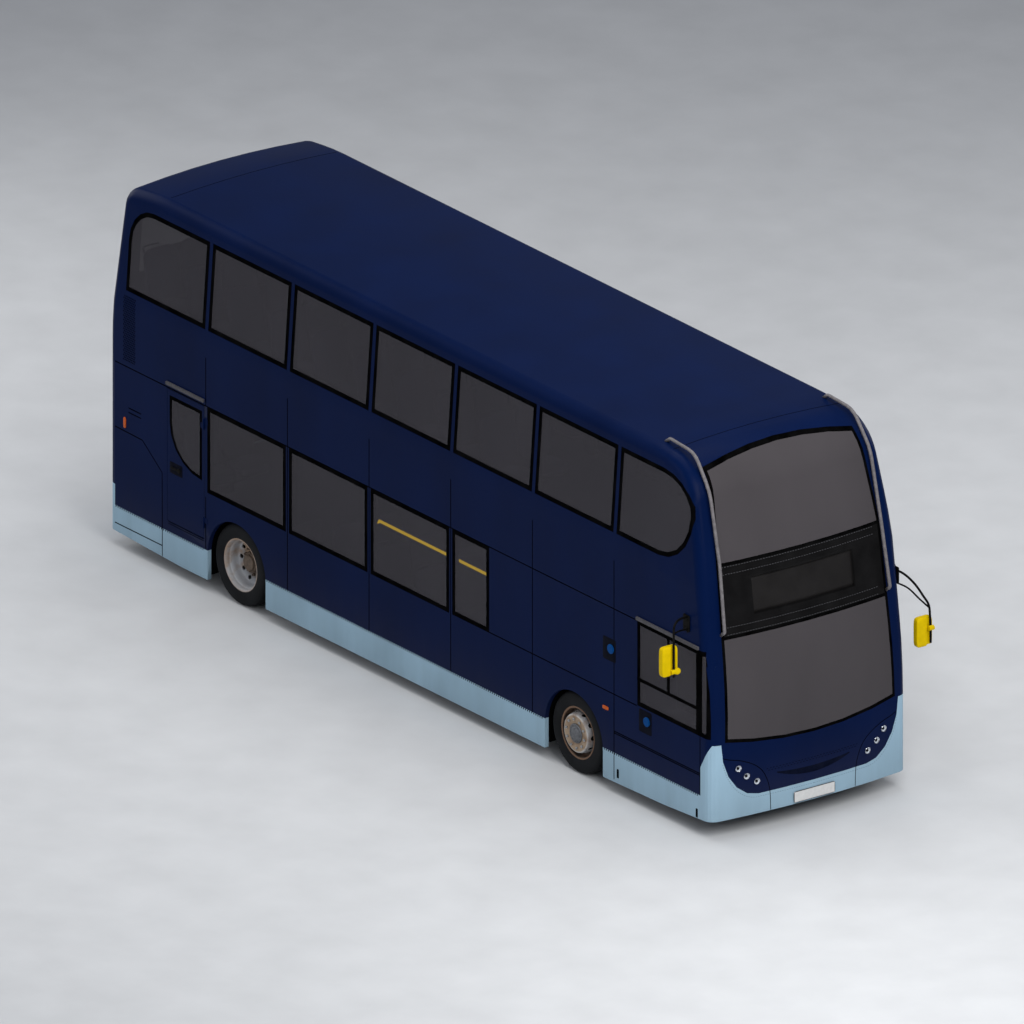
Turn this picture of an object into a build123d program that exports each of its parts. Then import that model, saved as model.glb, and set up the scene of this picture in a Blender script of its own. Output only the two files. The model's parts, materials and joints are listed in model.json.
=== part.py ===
"""Double-decker bus, right-hand drive, as an assembly of separate named pieces.

+X is forwards, +Y is the nearside (left, where passengers get on), +Z is up.
The origin is on the ground, midway along the body and on its centre line.
All lengths are millimetres, angles are degrees.
"""

import os
from math import acos, ceil, cos, pi, sin

from build123d import *

os.makedirs("parts", exist_ok=True)

# ---------------------------------------------------------------- driving dimensions

WIDTH = 2550
HEIGHT = 4126  # ground to the crown of the roof
WHEELBASE = 5870
REAR_OVERHANG = 2250
FRONT_OVERHANG = 2475

WALL = 50  # thickness of the body panels
GLASS = 12
PANEL_GAP = 6  # running clearance round a door or a lid

# Body form
FRONT_BOW = 95  # how far the front falls back at its sides, seen from above
REAR_BOW = 25
ROOF_CROWN = 45
EDGE_RADIUS = 100  # corners and roof edges
CHORD_SAG = 2.5  # how far a chord falls short of its bend
BOW_CHORDS = 3  # chords across half of the front
CORNER_CHORDS = 4
TUMBLEHOME = 0.07  # inward slope of the upper deck sides
TUMBLEHOME_START = 2760
FRONT_SHOULDER_Z = 1500  # the front starts to lean back here
FRONT_BROW_Z = 3050
REAR_SHOULDER_Z = 2500

# Heights
SKIRT_BOTTOM = 135
SKIRT_TOP = 465
DECK_SEAM = 2078
CANTRAIL = 3950
LOWER_FLOOR_Z = 340
REAR_FLOOR_Z = 760
UPPER_FLOOR_Z = 2370
FLOOR_THICKNESS = 60

# Side bays: the posts stand between the two axles' arch posts
ARCH_POST_REAR = 536  # rear axle to the post behind it
ARCH_POST_FRONT = 699  # front axle to the post before it
BAYS = 5
POST_GAP = 52  # body colour left between two window frames

# Windows
FRAME_WIDTH = 52
UPPER_SILL = 2925
UPPER_HEAD = 3890
LOWER_SILL = 1113
LOWER_HEAD = 2080

# Wheels
TYRE_RADIUS = 450
TYRE_WIDTH = 280
RIM_RADIUS = 292
TYRE_INSET = 40  # outer sidewall inside the body side
TWIN_PITCH = 312
ARCH_HALF = 506
ARCH_TOP = 925
KINGPIN_OFFSET = 150  # wheel centre plane to kingpin
KINGPIN_RADIUS = 28

# Entrance
DOOR_LEAF_THICKNESS = 30
DOOR_CENTRE_GAP = 20
DOOR_SHAFT_INSET = 80  # door shaft, in from the jamb and from the leaf's hinge
DOOR_HINGE_DEPTH = 35  # leaf's middle plane to its hinge

# ---------------------------------------------------------------- derived places

LENGTH = REAR_OVERHANG + WHEELBASE + FRONT_OVERHANG
HALF_WIDTH = WIDTH / 2
FRONT_X = LENGTH / 2
REAR_X = -LENGTH / 2
REAR_AXLE_X = REAR_X + REAR_OVERHANG
FRONT_AXLE_X = REAR_AXLE_X + WHEELBASE
BAY = (WHEELBASE + ARCH_POST_REAR + ARCH_POST_FRONT) / BAYS
POSTS = [REAR_AXLE_X - ARCH_POST_REAR + BAY * number for number in range(BAYS + 1)]

FRONT_SEAM_X = FRONT_X - 279
DOME_SEAM_X = FRONT_X - 1005
REAR_SEAM_X = REAR_X + 136
REAR_DOME_SEAM_X = REAR_X + 850

WHEEL_Y = HALF_WIDTH - TYRE_INSET - TYRE_WIDTH / 2
KINGPIN_Y = WHEEL_Y - KINGPIN_OFFSET



# ---------------------------------------------------------------- helpers

BEND_CHORDS = 3  # chords in a tube's bend

def span_box(x0, x1, y0, y1, z0, z1):
    """Box between two corners."""
    box = Box(x1 - x0, y1 - y0, z1 - z0)
    return Pos((x0 + x1) / 2, (y0 + y1) / 2, (z0 + z1) / 2) * box


def side_prism(face, y0, y1):
    """Extrudes a face drawn in X and Z across the bus, from y0 to y1."""
    plane = Plane(origin=(0, y0, 0), x_dir=(1, 0, 0), z_dir=(0, -1, 0))
    return extrude(plane * face, y1 - y0, dir=(0, 1, 0))


def front_prism(face, x0, x1):
    """Extrudes a face drawn in Y and Z along the bus, from x0 to x1."""
    plane = Plane(origin=(x0, 0, 0), x_dir=(0, 1, 0), z_dir=(1, 0, 0))
    return extrude(plane * face, x1 - x0, dir=(1, 0, 0))


def rectangle(u0, u1, v0, v1):
    """Flat rectangle between two corners."""
    return Pos((u0 + u1) / 2, (v0 + v1) / 2) * Rectangle(u1 - u0, v1 - v0)


def rod(start, end, radius):
    """Round bar between two points."""
    start, end = Vector(*start), Vector(*end)
    axis = end - start
    plane = Plane(origin=start, z_dir=axis)
    return plane * Cylinder(radius, axis.length, align=(Align.CENTER, Align.CENTER, Align.MIN))


FLATNESS = 1e-6


def flat_faces(corners):
    """One flat face through the corners, or two triangles where four aren't in a plane."""
    corners = [end for start, end in zip(corners[-1:] + corners, corners) if (end - start).length > FLATNESS]
    if len(corners) < 3:
        return []
    a, b, c = corners[:3]
    normal = (b - a).cross(c - a)
    flat = len(corners) != 4 or abs((corners[3] - a).dot(normal.normalized())) < FLATNESS
    if flat:
        return [Face(Wire.make_polygon(corners, close=True))]
    return flat_faces(corners[:3]) + flat_faces([a, c, corners[3]])


def faceted(loops, caps):
    """Solid of flat faces between loops of matching points, closed by the caps' polygons."""
    faces = []
    for near, far in zip(loops, loops[1:]):
        for number in range(len(near) - 1):
            faces += flat_faces([near[number], near[number + 1], far[number + 1], far[number]])
    for cap in caps:
        faces += [Face(Wire.make_polygon(cap, close=True))]
    return Solid(Shell(faces))


def swing(start, end, share):
    """Vector turned from one direction towards another, by a share of the angle between them."""
    angle = acos(start.dot(end) / (start.length * end.length))
    return (start * sin(angle * (1 - share)) + end * sin(angle * share)) / sin(angle)


def chord_count(turn, radius):
    """Chords that keep within the allowed sag round a bend."""
    return max(1, ceil(turn / 2 / acos(1 - CHORD_SAG / radius)))


def rounded_path(corners, radii):
    """Points and outward normals along straight runs and tangent bends, bends cut into chords."""
    corners = [Vector(*corner) for corner in corners]
    runs = [(end - start).normalized() for start, end in zip(corners, corners[1:])]
    normals = [Vector(-run.Y, run.X) for run in runs]
    places = [(corners[0], normals[0])]
    for corner, before, after, radius in zip(corners[1:], normals, normals[1:], radii):
        centre = corner - (before + after) * (radius / (1 + before.dot(after)))
        chords = chord_count(acos(before.dot(after)), radius)
        for step in range(chords + 1):
            normal = swing(before, after, step / chords)
            places.append((centre + normal * radius, normal))
    return places + [(corners[-1], normals[-1])]


def bent_tube(points, bends, radius, sides=6):
    """Tube with flat sides along straight runs and bends, mitred where its chords meet."""
    corners = [Vector(*point) for point in points]
    stops = [corners[0]]
    for number, bend in enumerate(bends, start=1):
        corner = corners[number]
        before = (corner - corners[number - 1]).normalized()
        after = (corners[number + 1] - corner).normalized()
        turn = acos(before.dot(after))
        inward = (after - before).normalized()
        centre = corner + inward * (bend / cos(turn / 2))
        back = bend * sin(turn / 2) / cos(turn / 2)
        arms = [corner - before * back - centre, corner + after * back - centre]
        stops += [centre + swing(*arms, step / BEND_CHORDS) for step in range(BEND_CHORDS + 1)]
    stops.append(corners[-1])
    runs = [(end - start).normalized() for start, end in zip(stops, stops[1:])]
    section = Plane(origin=stops[0], z_dir=runs[0])
    first = []
    for step in range(sides):
        turn = 2 * pi * step / sides
        first.append(stops[0] + (section.x_dir * cos(turn) + section.y_dir * sin(turn)) * radius)
    loops = [first]
    for stop, before, after in zip(stops[1:], runs, runs[1:] + runs[-1:]):
        mitre = before + after
        ring = []
        for point in loops[-1]:
            ring.append(point + before * ((stop - point).dot(mitre) / before.dot(mitre)))
        loops.append(ring)
    closed = [loop + loop[:1] for loop in loops]
    return faceted(closed, [loops[0], loops[-1]])


def turned(corners, x, y, z, sides):
    """Many-sided solid about the wheel axis, from (radius, outward) corners all round its section."""
    loops = []
    for step in range(sides):
        turn = 2 * pi * step / sides
        section = corners + corners[:1]
        loops.append([Vector(radius * sin(turn), out, -radius * cos(turn)) for radius, out in section])
    return Pos(x, y, z) * faceted(loops + loops[:1], [])


def bar(start, end, radius, sides=8):
    """Straight bar with flat sides."""
    start, end = Vector(*start), Vector(*end)
    plane = Plane(origin=start, z_dir=end - start)
    return extrude(plane * RegularPolygon(radius, sides), (end - start).length)


def curve_points(centre, width, height, start, end, chords=5):
    """Points round part of an ellipse, between two angles in degrees."""
    points = []
    for step in range(chords + 1):
        turn = (start + (end - start) * step / chords) * pi / 180
        points.append((centre[0] + width * cos(turn), centre[1] + height * sin(turn)))
    return points


def both_sides(shape):
    """A shape and its mirror image across the centre line."""
    return [shape, mirror(shape, Plane.XZ)]


def write(name, *shapes):
    """Writes one sub-part, made of one or more solids, to its file."""
    solids = []
    for shape in shapes:
        solids.extend(shape.solids())
    part = solids[0] if len(solids) == 1 else Compound(solids)
    export_step(part, f"parts/{name}.step")


# ---------------------------------------------------------------- body form

def elevation(across, inset):
    """Corners of the outline seen from the side at a share of the half width."""
    front = FRONT_X - FRONT_BOW * across**2
    rear = REAR_X + REAR_BOW * across**2
    top = HEIGHT - ROOF_CROWN * across**2
    below = SKIRT_BOTTOM - 200
    corners = [
        (rear, below),
        (rear, REAR_SHOULDER_Z),
        (rear + 150, top - 60),
        (rear + 700, top),
        (front - 1100, top),
        (front - 700, top - 45),
        (front - 430, HEIGHT - 296),
        (front - 225, FRONT_BROW_Z),
        (front, FRONT_SHOULDER_Z),
        (front, below),
    ]
    radii = [3500, 220, 3500, 3500, 500, 500, 4000, 6000]
    points = [place - normal * inset for place, normal in rounded_path(corners, radii)]
    ends = []
    for start, end in zip(points, points[1:]):
        ends.append(start)
        if (start.Y - TUMBLEHOME_START) * (end.Y - TUMBLEHOME_START) < 0:
            ends.append(start + (end - start) * ((TUMBLEHOME_START - start.Y) / (end.Y - start.Y)))
    return ends + [points[-1]]


def lean(z):
    """How far the sides lean in at a height."""
    return TUMBLEHOME * max(0, z - TUMBLEHOME_START)


def cross_section(inset):
    """Outline seen from the front: upright sides that lean in past the waist."""
    side, top = HALF_WIDTH - inset, HEIGHT + 400
    left = [(side, -300), (side, TUMBLEHOME_START), (side - lean(top), top)]
    right = [(-y, z) for y, z in reversed(left)]
    return make_face(Polyline(*left, *right, close=True).edges())


def body_form(inset):
    """Solid outer form of the body, set in from its skin by the inset."""
    core = HALF_WIDTH - EDGE_RADIUS
    radius = EDGE_RADIUS - inset
    half = [(core * step / BOW_CHORDS, inset) for step in range(BOW_CHORDS)]
    for step in range(CORNER_CHORDS + 1):
        turn = pi / 2 * step / CORNER_CHORDS
        half.append((core + radius * sin(turn), inset + radius * (1 - cos(turn))))
    stations = [(-y, depth) for y, depth in reversed(half[1:])] + half
    loops = []
    for side, depth in stations:
        share = max(-1, min(1, side / core))
        outline = elevation(side / HALF_WIDTH, depth)
        loops.append([Vector(point.X, side - share * lean(point.Y), point.Y) for point in outline])
    caps = [[loop[0] for loop in loops] + [loop[-1] for loop in reversed(loops)]]
    for loop in (loops[0], loops[-1]):
        low = [point for point in loop if point.Z < TUMBLEHOME_START + 0.01]
        high = [point for point in loop if point.Z > TUMBLEHOME_START - 0.01]
        caps += [low, high]
    return faceted(loops, caps)


OUTER = body_form(0)
BEHIND_GLASS = body_form(GLASS)
SHELL = OUTER - body_form(WALL)

SKIN_DEPTH = HALF_WIDTH + 100


# ---------------------------------------------------------------- window outlines

def bay_span(number):
    """Frame ends of the window in one bay, counted forwards from the rear arch post."""
    return POSTS[number] + POST_GAP / 2, POSTS[number + 1] - POST_GAP / 2


UPPER_REAR_X = REAR_X + 310  # rear edge of the rearmost upper frame
UPPER_FRONT_X = FRONT_X - 460  # foremost point of the front upper frame
SHORT_WINDOW_END = POSTS[3] + 670
CAB_WINDOW = (POSTS[5] + 405, FRONT_SEAM_X - 16)
QUARTER_GLASS = (CAB_WINDOW[1], FRONT_X - 125)
CAB_HEAD = 2087
CAB_SILL = 1127
EMERGENCY_DOOR = (POSTS[0] - 674, POSTS[0] - 24)
EMERGENCY_DOOR_Z = (580, 2070)
DOORWAY = (POSTS[5] + 61, POSTS[5] + 1381)
DOORWAY_Z = (LOWER_FLOOR_Z - 20, DECK_SEAM - 10)


def plain_window(x0, x1, z0, z1, border):
    """Rectangular window outline, drawn in by the border."""
    return rectangle(x0 + border, x1 - border, z0 + border, z1 - border)


def rear_upper_window(border):
    """Upper window at the rear, with a large radius at its top rear corner."""
    x0, x1 = UPPER_REAR_X + border, POSTS[0] - POST_GAP / 2 - border
    z0, z1 = UPPER_SILL + border, UPPER_HEAD - border
    radius = 400 - border
    curve = curve_points((x0 + radius, z1 - radius), radius, radius, 180, 90)
    return make_face(Polyline((x0, z0), *curve, (x1, z1), (x1, z0), close=True).edges())


def front_upper_window(border):
    """Upper window at the front, closed by a round nose."""
    x0, x1 = POSTS[5] + POST_GAP / 2 + border, UPPER_FRONT_X - border
    z0, z1 = UPPER_SILL + border, UPPER_HEAD - border
    nose_z = UPPER_SILL + 560
    drop, rise = nose_z - z0, z1 - nose_z
    width = 1.35 * rise
    lower = curve_points((x1 - drop, nose_z), drop, drop, -90, 0)
    upper = curve_points((x1 - width, nose_z), width, rise, 0, 90)
    return make_face(Polyline((x0, z0), *lower, *upper[1:], (x0, z1), close=True).edges())


def emergency_window(border):
    """Emergency door window, whose lower rear corner is one long curve."""
    x0, x1 = EMERGENCY_DOOR[0] + 45 + border, EMERGENCY_DOOR[1] - 40 - border
    z0, z1 = 1220 + border, 2000 - border
    width, drop = x1 - x0, 480 - border
    curve = curve_points((x1, z0 + drop), width, drop, 180, 270)
    return make_face(Polyline(*curve, (x1, z1), (x0, z1), close=True).edges())


def cab_window(border):
    """Driver's window."""
    return plain_window(*CAB_WINDOW, CAB_SILL, CAB_HEAD, border)


def quarter_window(border):
    """Small fixed window at the front corner, cut across its top front corner."""
    x0, x1 = QUARTER_GLASS[0] + border, QUARTER_GLASS[1] - border
    z0, z1 = CAB_SILL + border, CAB_HEAD - border
    corners = [(x0, z0), (x1, z0), (x1, z1 - 420), (x1 - 30, z1), (x0, z1)]
    return make_face(Polyline(*corners, close=True).edges())


def upper_outlines(border):
    """Upper deck windows on the flat part of a side, the same on both sides."""
    outlines = [rear_upper_window(border)]
    for number in range(BAYS):
        outlines.append(plain_window(*bay_span(number), UPPER_SILL, UPPER_HEAD, border))
    return outlines


def lower_outlines_right(border):
    """Lower deck windows of the driver's side, with a blank panel beside the stairs."""
    outlines = [cab_window(border)]
    for number in range(3):
        outlines.append(plain_window(*bay_span(number), LOWER_SILL, LOWER_HEAD, border))
    short = (POSTS[3] + POST_GAP / 2, SHORT_WINDOW_END)
    outlines.append(plain_window(*short, LOWER_SILL, LOWER_HEAD, border))
    return outlines


def lower_outlines_left(border):
    """Lower deck windows of the entrance side."""
    outlines = [plain_window(*EMERGENCY_DOOR, LOWER_SILL, LOWER_HEAD, border)]
    for number in range(BAYS):
        outlines.append(plain_window(*bay_span(number), LOWER_SILL, LOWER_HEAD, border))
    return outlines


def corner_outlines(border):
    """Windows that run on to the rounded front corners, the same on both sides."""
    return [front_upper_window(border), quarter_window(border)]


RIGHT = (-SKIN_DEPTH, 0)
LEFT = (0, SKIN_DEPTH)
ACROSS = (-SKIN_DEPTH, SKIN_DEPTH)


def prisms(outlines, side):
    """Outlines extruded through one side wall, or through both."""
    return [side_prism(outline, *side) for outline in outlines]


def joined(shapes):
    """Several separate shapes as one, to cut or to keep with in one step."""
    return Part() + list(shapes)


def panes(tool):
    """Glass that fills the tool's prisms, flush with the outer skin."""
    return (OUTER & tool) - BEHIND_GLASS


# ---------------------------------------------------------------- front glazing

SCREEN_BORDER = 35
SCREEN_LOW_Z = 1077
SCREEN_DIP = 105  # the lower edge sags by this at the centre
BAND_BOTTOM = 2200
BAND_TOP = 2980
SCREEN_HALF_LOW = 1105
SCREEN_HALF_BROW = 1060
SCREEN_HALF_TOP = 975
SCREEN_TOP_Z = 3955
SCREEN_ARCH = 105


def screen_outline(border):
    """Outline round both windscreens and the dark band between them, seen from the front."""
    low, brow, top = (half - border for half in (SCREEN_HALF_LOW, SCREEN_HALF_BROW, SCREEN_HALF_TOP))
    low_z = SCREEN_LOW_Z + border
    top_z = SCREEN_TOP_Z - border
    sill, head = [], []
    for share in (-1, -0.7, -0.35, 0, 0.35, 0.7, 1):
        sill.append((low * share, low_z - SCREEN_DIP * (1 - share**2)))
        head.append((-top * share, top_z + SCREEN_ARCH * (1 - share**2)))
    return make_face(Polyline(*sill, (brow, BAND_TOP), *head, (-brow, BAND_TOP), close=True).edges())


SCREEN_BACK = FRONT_X - 1100
DISPLAY_HALF = 660
DISPLAY_Z = (2390, 2790)
DISPLAY_DEPTH = 28


def screen_part(z0, z1):
    """Part of the inner screen outline between two heights."""
    return screen_outline(SCREEN_BORDER) & rectangle(-HALF_WIDTH, HALF_WIDTH, z0, z1)


BAR = SCREEN_BORDER / 2
lower_screen = screen_part(0, BAND_BOTTOM - BAR)
upper_screen = screen_part(BAND_TOP + BAR, HEIGHT)
band = screen_part(BAND_BOTTOM + BAR, BAND_TOP - BAR)

SCREEN_CUT = front_prism(screen_outline(0), SCREEN_BACK, FRONT_X + 100)
FRONT_SHELL = SHELL & span_box(POSTS[5], FRONT_X + 100, -HALF_WIDTH, HALF_WIDTH, 0, HEIGHT + 50)
frame_face = screen_outline(0) - lower_screen - band - upper_screen
write("windscreen_frame", FRONT_SHELL & front_prism(frame_face, SCREEN_BACK, FRONT_X + 100))
lower_glass = panes(front_prism(lower_screen, SCREEN_BACK + 600, FRONT_X + 100))
upper_glass = panes(front_prism(upper_screen, SCREEN_BACK, FRONT_X + 100))
write("windscreens", lower_glass, upper_glass)

# Destination box: the dark panel between the screens, open where its display is sunk,
# with the display closing it from behind
display_face = rectangle(-DISPLAY_HALF, DISPLAY_HALF, *DISPLAY_Z)
box_front = FRONT_SHELL & front_prism(band - display_face, SCREEN_BACK, FRONT_X + 100)
display = FRONT_SHELL & front_prism(display_face, SCREEN_BACK, FRONT_X + 100)
display = display & (Pos(-DISPLAY_DEPTH, 0, 0) * OUTER)
write("destination_box", box_front + display)

# ---------------------------------------------------------------- openings in the shell

EMERGENCY_FACE = rectangle(*EMERGENCY_DOOR, *EMERGENCY_DOOR_Z)
DOORWAY_FACE = rectangle(*DOORWAY, *DOORWAY_Z)


def arch_outline(x):
    """Wheel arch opening: upright sides under a half round top."""
    spring = ARCH_TOP - ARCH_HALF
    lines = [
        Line((x - ARCH_HALF, -50), (x + ARCH_HALF, -50)).edge(),
        Line((x + ARCH_HALF, -50), (x + ARCH_HALF, spring)).edge(),
        ThreePointArc((x + ARCH_HALF, spring), (x, ARCH_TOP), (x - ARCH_HALF, spring)).edge(),
        Line((x - ARCH_HALF, spring), (x - ARCH_HALF, -50)).edge(),
    ]
    return make_face(lines)


def body_outline():
    """Region above the lower edge of the body, which rises towards both ends."""
    corners = [
        (REAR_X - 50, SKIRT_BOTTOM + 50),
        (REAR_X + 1300, SKIRT_BOTTOM),
        (FRONT_X - 1900, SKIRT_BOTTOM),
        (FRONT_X - 900, SKIRT_BOTTOM + 25),
        (FRONT_X + 50, SKIRT_BOTTOM + 80),
        (FRONT_X + 50, HEIGHT + 50),
        (REAR_X - 50, HEIGHT + 50),
    ]
    return make_face(Polyline(*corners, close=True).edges())


def rear_window(border):
    """Upper rear window, seen from behind."""
    half = REAR_WINDOW_HALF - border
    return rectangle(-half, half, UPPER_SILL + border, REAR_WINDOW_HEAD - border)


REAR_WINDOW_HALF = 1000
REAR_WINDOW_HEAD = UPPER_HEAD - 130
REAR_ZONE = (REAR_X - 100, REAR_X + 400)

# where the frames of the upper and lower corner windows end, out from the centre line
CORNER_INNER = (1018, SCREEN_HALF_LOW + 1)


def corner_prisms(faces, side):
    """A face of each corner window, extruded through one side but not on to the windscreen."""
    outward = 1 if side == LEFT else -1
    shapes = []
    for face, inner in zip(faces, CORNER_INNER):
        shapes.append(side_prism(face, *sorted((outward * inner, outward * SKIN_DEPTH))))
    return shapes


openings = prisms(upper_outlines(0), ACROSS)
openings += corner_prisms(corner_outlines(0), RIGHT) + corner_prisms(corner_outlines(0), LEFT)
openings += prisms(lower_outlines_right(0) + [EMERGENCY_FACE], RIGHT)
openings += prisms(lower_outlines_left(0) + [DOORWAY_FACE], LEFT)
openings += prisms([arch_outline(REAR_AXLE_X), arch_outline(FRONT_AXLE_X)], ACROSS)
openings += [SCREEN_CUT, front_prism(rear_window(0), *REAR_ZONE)]
SKINS = (SHELL & side_prism(body_outline(), *ACROSS)) - joined(openings)


def skins_in(x0, x1, z0, z1, side=ACROSS):
    """The body's skins between four seams."""
    return SKINS & span_box(x0, x1, *side, z0, z1)


# ---------------------------------------------------------------- side walls and windows

def side_wall(side):
    """One side from the skirt to the cantrail, as a single panel."""
    upper = skins_in(REAR_DOME_SEAM_X, DOME_SEAM_X, DECK_SEAM, CANTRAIL, side)
    lower = skins_in(REAR_SEAM_X, FRONT_SEAM_X, SKIRT_TOP, DECK_SEAM, side)
    return upper + lower


wall_right = side_wall(RIGHT)
write("side_wall_left", side_wall(LEFT))
write("skirts", skins_in(REAR_SEAM_X, FRONT_SEAM_X, 0, SKIRT_TOP))


def flat_wall(depth):
    """Both side walls as straight extrusions, from the skin to a depth."""
    return front_prism(cross_section(0) - cross_section(depth), REAR_X, FRONT_X)


def rings(outlines):
    """Window frames' faces: each outline less its glass."""
    return [whole - glass for whole, glass in zip(outlines(0), outlines(FRAME_WIDTH))]


write("rear_window_frame", SHELL & front_prism(rear_window(0) - rear_window(FRAME_WIDTH), *REAR_ZONE))
frames = []
glass = [panes(front_prism(rear_window(FRAME_WIDTH), *REAR_ZONE))]
for side, lower in ((RIGHT, lower_outlines_right), (LEFT, lower_outlines_left)):

    def flat_outlines(border, lower=lower):
        """Windows on the flat part of this side, on both decks."""
        return upper_outlines(border) + lower(border)

    corner = joined(corner_prisms(corner_outlines(FRAME_WIDTH), side))
    corner_rings = joined(corner_prisms(rings(corner_outlines), side))
    frames += [flat_wall(WALL) & joined(prisms(rings(flat_outlines), side)), FRONT_SHELL & corner_rings]
    glass += [flat_wall(GLASS) & joined(prisms(flat_outlines(FRAME_WIDTH), side)), panes(corner)]
write("window_frames", *frames)
write("window_panes", *glass)

# ---------------------------------------------------------------- roof and end mouldings

write("roof", skins_in(REAR_DOME_SEAM_X, DOME_SEAM_X, CANTRAIL, HEIGHT + 50))
write("front_dome", skins_in(DOME_SEAM_X, FRONT_X + 50, DECK_SEAM, HEIGHT + 50))
write("rear_dome", skins_in(REAR_X - 50, REAR_DOME_SEAM_X, DECK_SEAM, HEIGHT + 50))

# Front bumper: shallow at the centre, with wings that sweep up round the corners
BUMPER_CENTRE_TOP = 430
BUMPER_WING_TOP = 1060
WING_HALF = (700, 1150)
BUMPER_SIDE_TOP = 770


def bumper_outline():
    """Bumper seen from the front."""
    inner, outer = WING_HALF
    rise = BUMPER_WING_TOP - BUMPER_CENTRE_TOP
    side = HALF_WIDTH + 50
    left = curve_points((inner, BUMPER_WING_TOP), outer - inner, rise, -90, 0)
    left += [(side, BUMPER_WING_TOP), (side, 0)]
    right = [(-y, z) for y, z in reversed(left)]
    return make_face(Polyline(*left, *right, close=True).edges())


wing_corners = [
    (FRONT_SEAM_X, 0),
    (FRONT_X + 50, 0),
    (FRONT_X + 50, BUMPER_WING_TOP),
    (FRONT_SEAM_X + 164, BUMPER_WING_TOP),
    (FRONT_SEAM_X, BUMPER_SIDE_TOP),
]
wing_side = side_prism(make_face(Polyline(*wing_corners, close=True).edges()), *ACROSS)
BUMPER_ZONE = front_prism(bumper_outline(), FRONT_SEAM_X, FRONT_X + 50) & wing_side
LAMP_RADIUS = 46
LAMPS = [(0.741, 757), (0.663, 653), (0.565, 571)]  # share of the half width, and height
HEADLAMPS = []
for share, z in LAMPS:
    for y in (-share * HALF_WIDTH, share * HALF_WIDTH):
        HEADLAMPS.append(bar((FRONT_X - 200, y, z), (FRONT_X + 20, y, z), LAMP_RADIUS))
front_lower = skins_in(FRONT_SEAM_X, FRONT_X + 50, 0, DECK_SEAM)
write("front_bumper", front_lower & BUMPER_ZONE)
write("front_panel", front_lower - BUMPER_ZONE - joined(HEADLAMPS))

# Rear: bumper, and the surround of the engine bay
REAR_BUMPER_TOP = 700
LID_HALF = 960
LID_Z = (REAR_BUMPER_TOP + 30, 1350)
rear_lower = skins_in(REAR_X - 50, REAR_SEAM_X, 0, DECK_SEAM)
lid_opening = span_box(REAR_X - 50, REAR_X + 130, -LID_HALF, LID_HALF, *LID_Z)
below = span_box(REAR_X - 50, REAR_SEAM_X, *ACROSS, 0, REAR_BUMPER_TOP)
write("rear_bumper", rear_lower & below)
rear_panel = rear_lower - below - lid_opening

# ---------------------------------------------------------------- floors and structure

INNER_HALF = HALF_WIDTH - WALL
FLOOR_REAR_X = REAR_X + 240
FLOOR_FRONT_X = FRONT_X - 330
REAR_BOX_HALF = 560
FRONT_BOX_HALF = 590
FRONT_BOX_INNER = 630
REAR_BOX_INNER = WHEEL_Y - TWIN_PITCH - TYRE_WIDTH / 2 - 45
BOX_WALL = 18
WHEEL_BOX_TOP = 1010
RAISED_FLOOR_X = REAR_AXLE_X + 1150  # the low floor steps up here
LOW_Z = LOWER_FLOOR_Z - FLOOR_THICKNESS
RAIL_Y = 430
RAIL_WIDTH = 70
RAIL_HEIGHT = 80
ENGINE_FRONT_X = REAR_AXLE_X - 700


def wheel_bay(x, half, inner):
    """Space kept clear over one axle's wheels, both sides."""
    reach = HALF_WIDTH + 20
    bay = span_box(x - half, x + half, inner, reach, -50, WHEEL_BOX_TOP)
    return joined(both_sides(bay))


def wheel_boxes(x, half, inner, low):
    """Boxes over the wheels of one axle, open below and outwards."""
    outer = span_box(x - half, x + half, inner, INNER_HALF, low, WHEEL_BOX_TOP)
    ends = (x - half + BOX_WALL, x + half - BOX_WALL)
    space = span_box(*ends, inner + BOX_WALL, HALF_WIDTH, low - 50, WHEEL_BOX_TOP - BOX_WALL)
    return joined(both_sides(outer - space))


bays = wheel_bay(FRONT_AXLE_X, FRONT_BOX_HALF, FRONT_BOX_INNER)
bays += wheel_bay(REAR_AXLE_X, REAR_BOX_HALF, REAR_BOX_INNER)
low_floor = span_box(RAISED_FLOOR_X, FLOOR_FRONT_X, -INNER_HALF, INNER_HALF, LOW_Z, LOWER_FLOOR_Z)
raised_z = REAR_FLOOR_Z - FLOOR_THICKNESS
raised = span_box(FLOOR_REAR_X, RAISED_FLOOR_X, -INNER_HALF, INNER_HALF, raised_z, REAR_FLOOR_Z)
riser = span_box(RAISED_FLOOR_X - 20, RAISED_FLOOR_X, -INNER_HALF, INNER_HALF, LOW_Z, raised_z)
tread_top = (LOWER_FLOOR_Z + REAR_FLOOR_Z) / 2
tread = span_box(RAISED_FLOOR_X, RAISED_FLOOR_X + 300, -350, 350, LOWER_FLOOR_Z, tread_top)
write("lower_floor", low_floor + raised + riser + tread - bays)
boxes = wheel_boxes(FRONT_AXLE_X, FRONT_BOX_HALF, FRONT_BOX_INNER, LOW_Z)
boxes += wheel_boxes(REAR_AXLE_X, REAR_BOX_HALF, REAR_BOX_INNER, raised_z)
write("wheel_boxes", boxes)

STAIR_WIDTH = 660
STAIR_STEPS = 9
STAIR_START_X = POSTS[3] + 560
STAIR_GOING = 228
stair_rise = (UPPER_FLOOR_Z - LOWER_FLOOR_Z) / STAIR_STEPS
STAIR_Y = (-INNER_HALF, -INNER_HALF + STAIR_WIDTH)
stair_end = STAIR_START_X + STAIR_STEPS * STAIR_GOING


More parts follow.
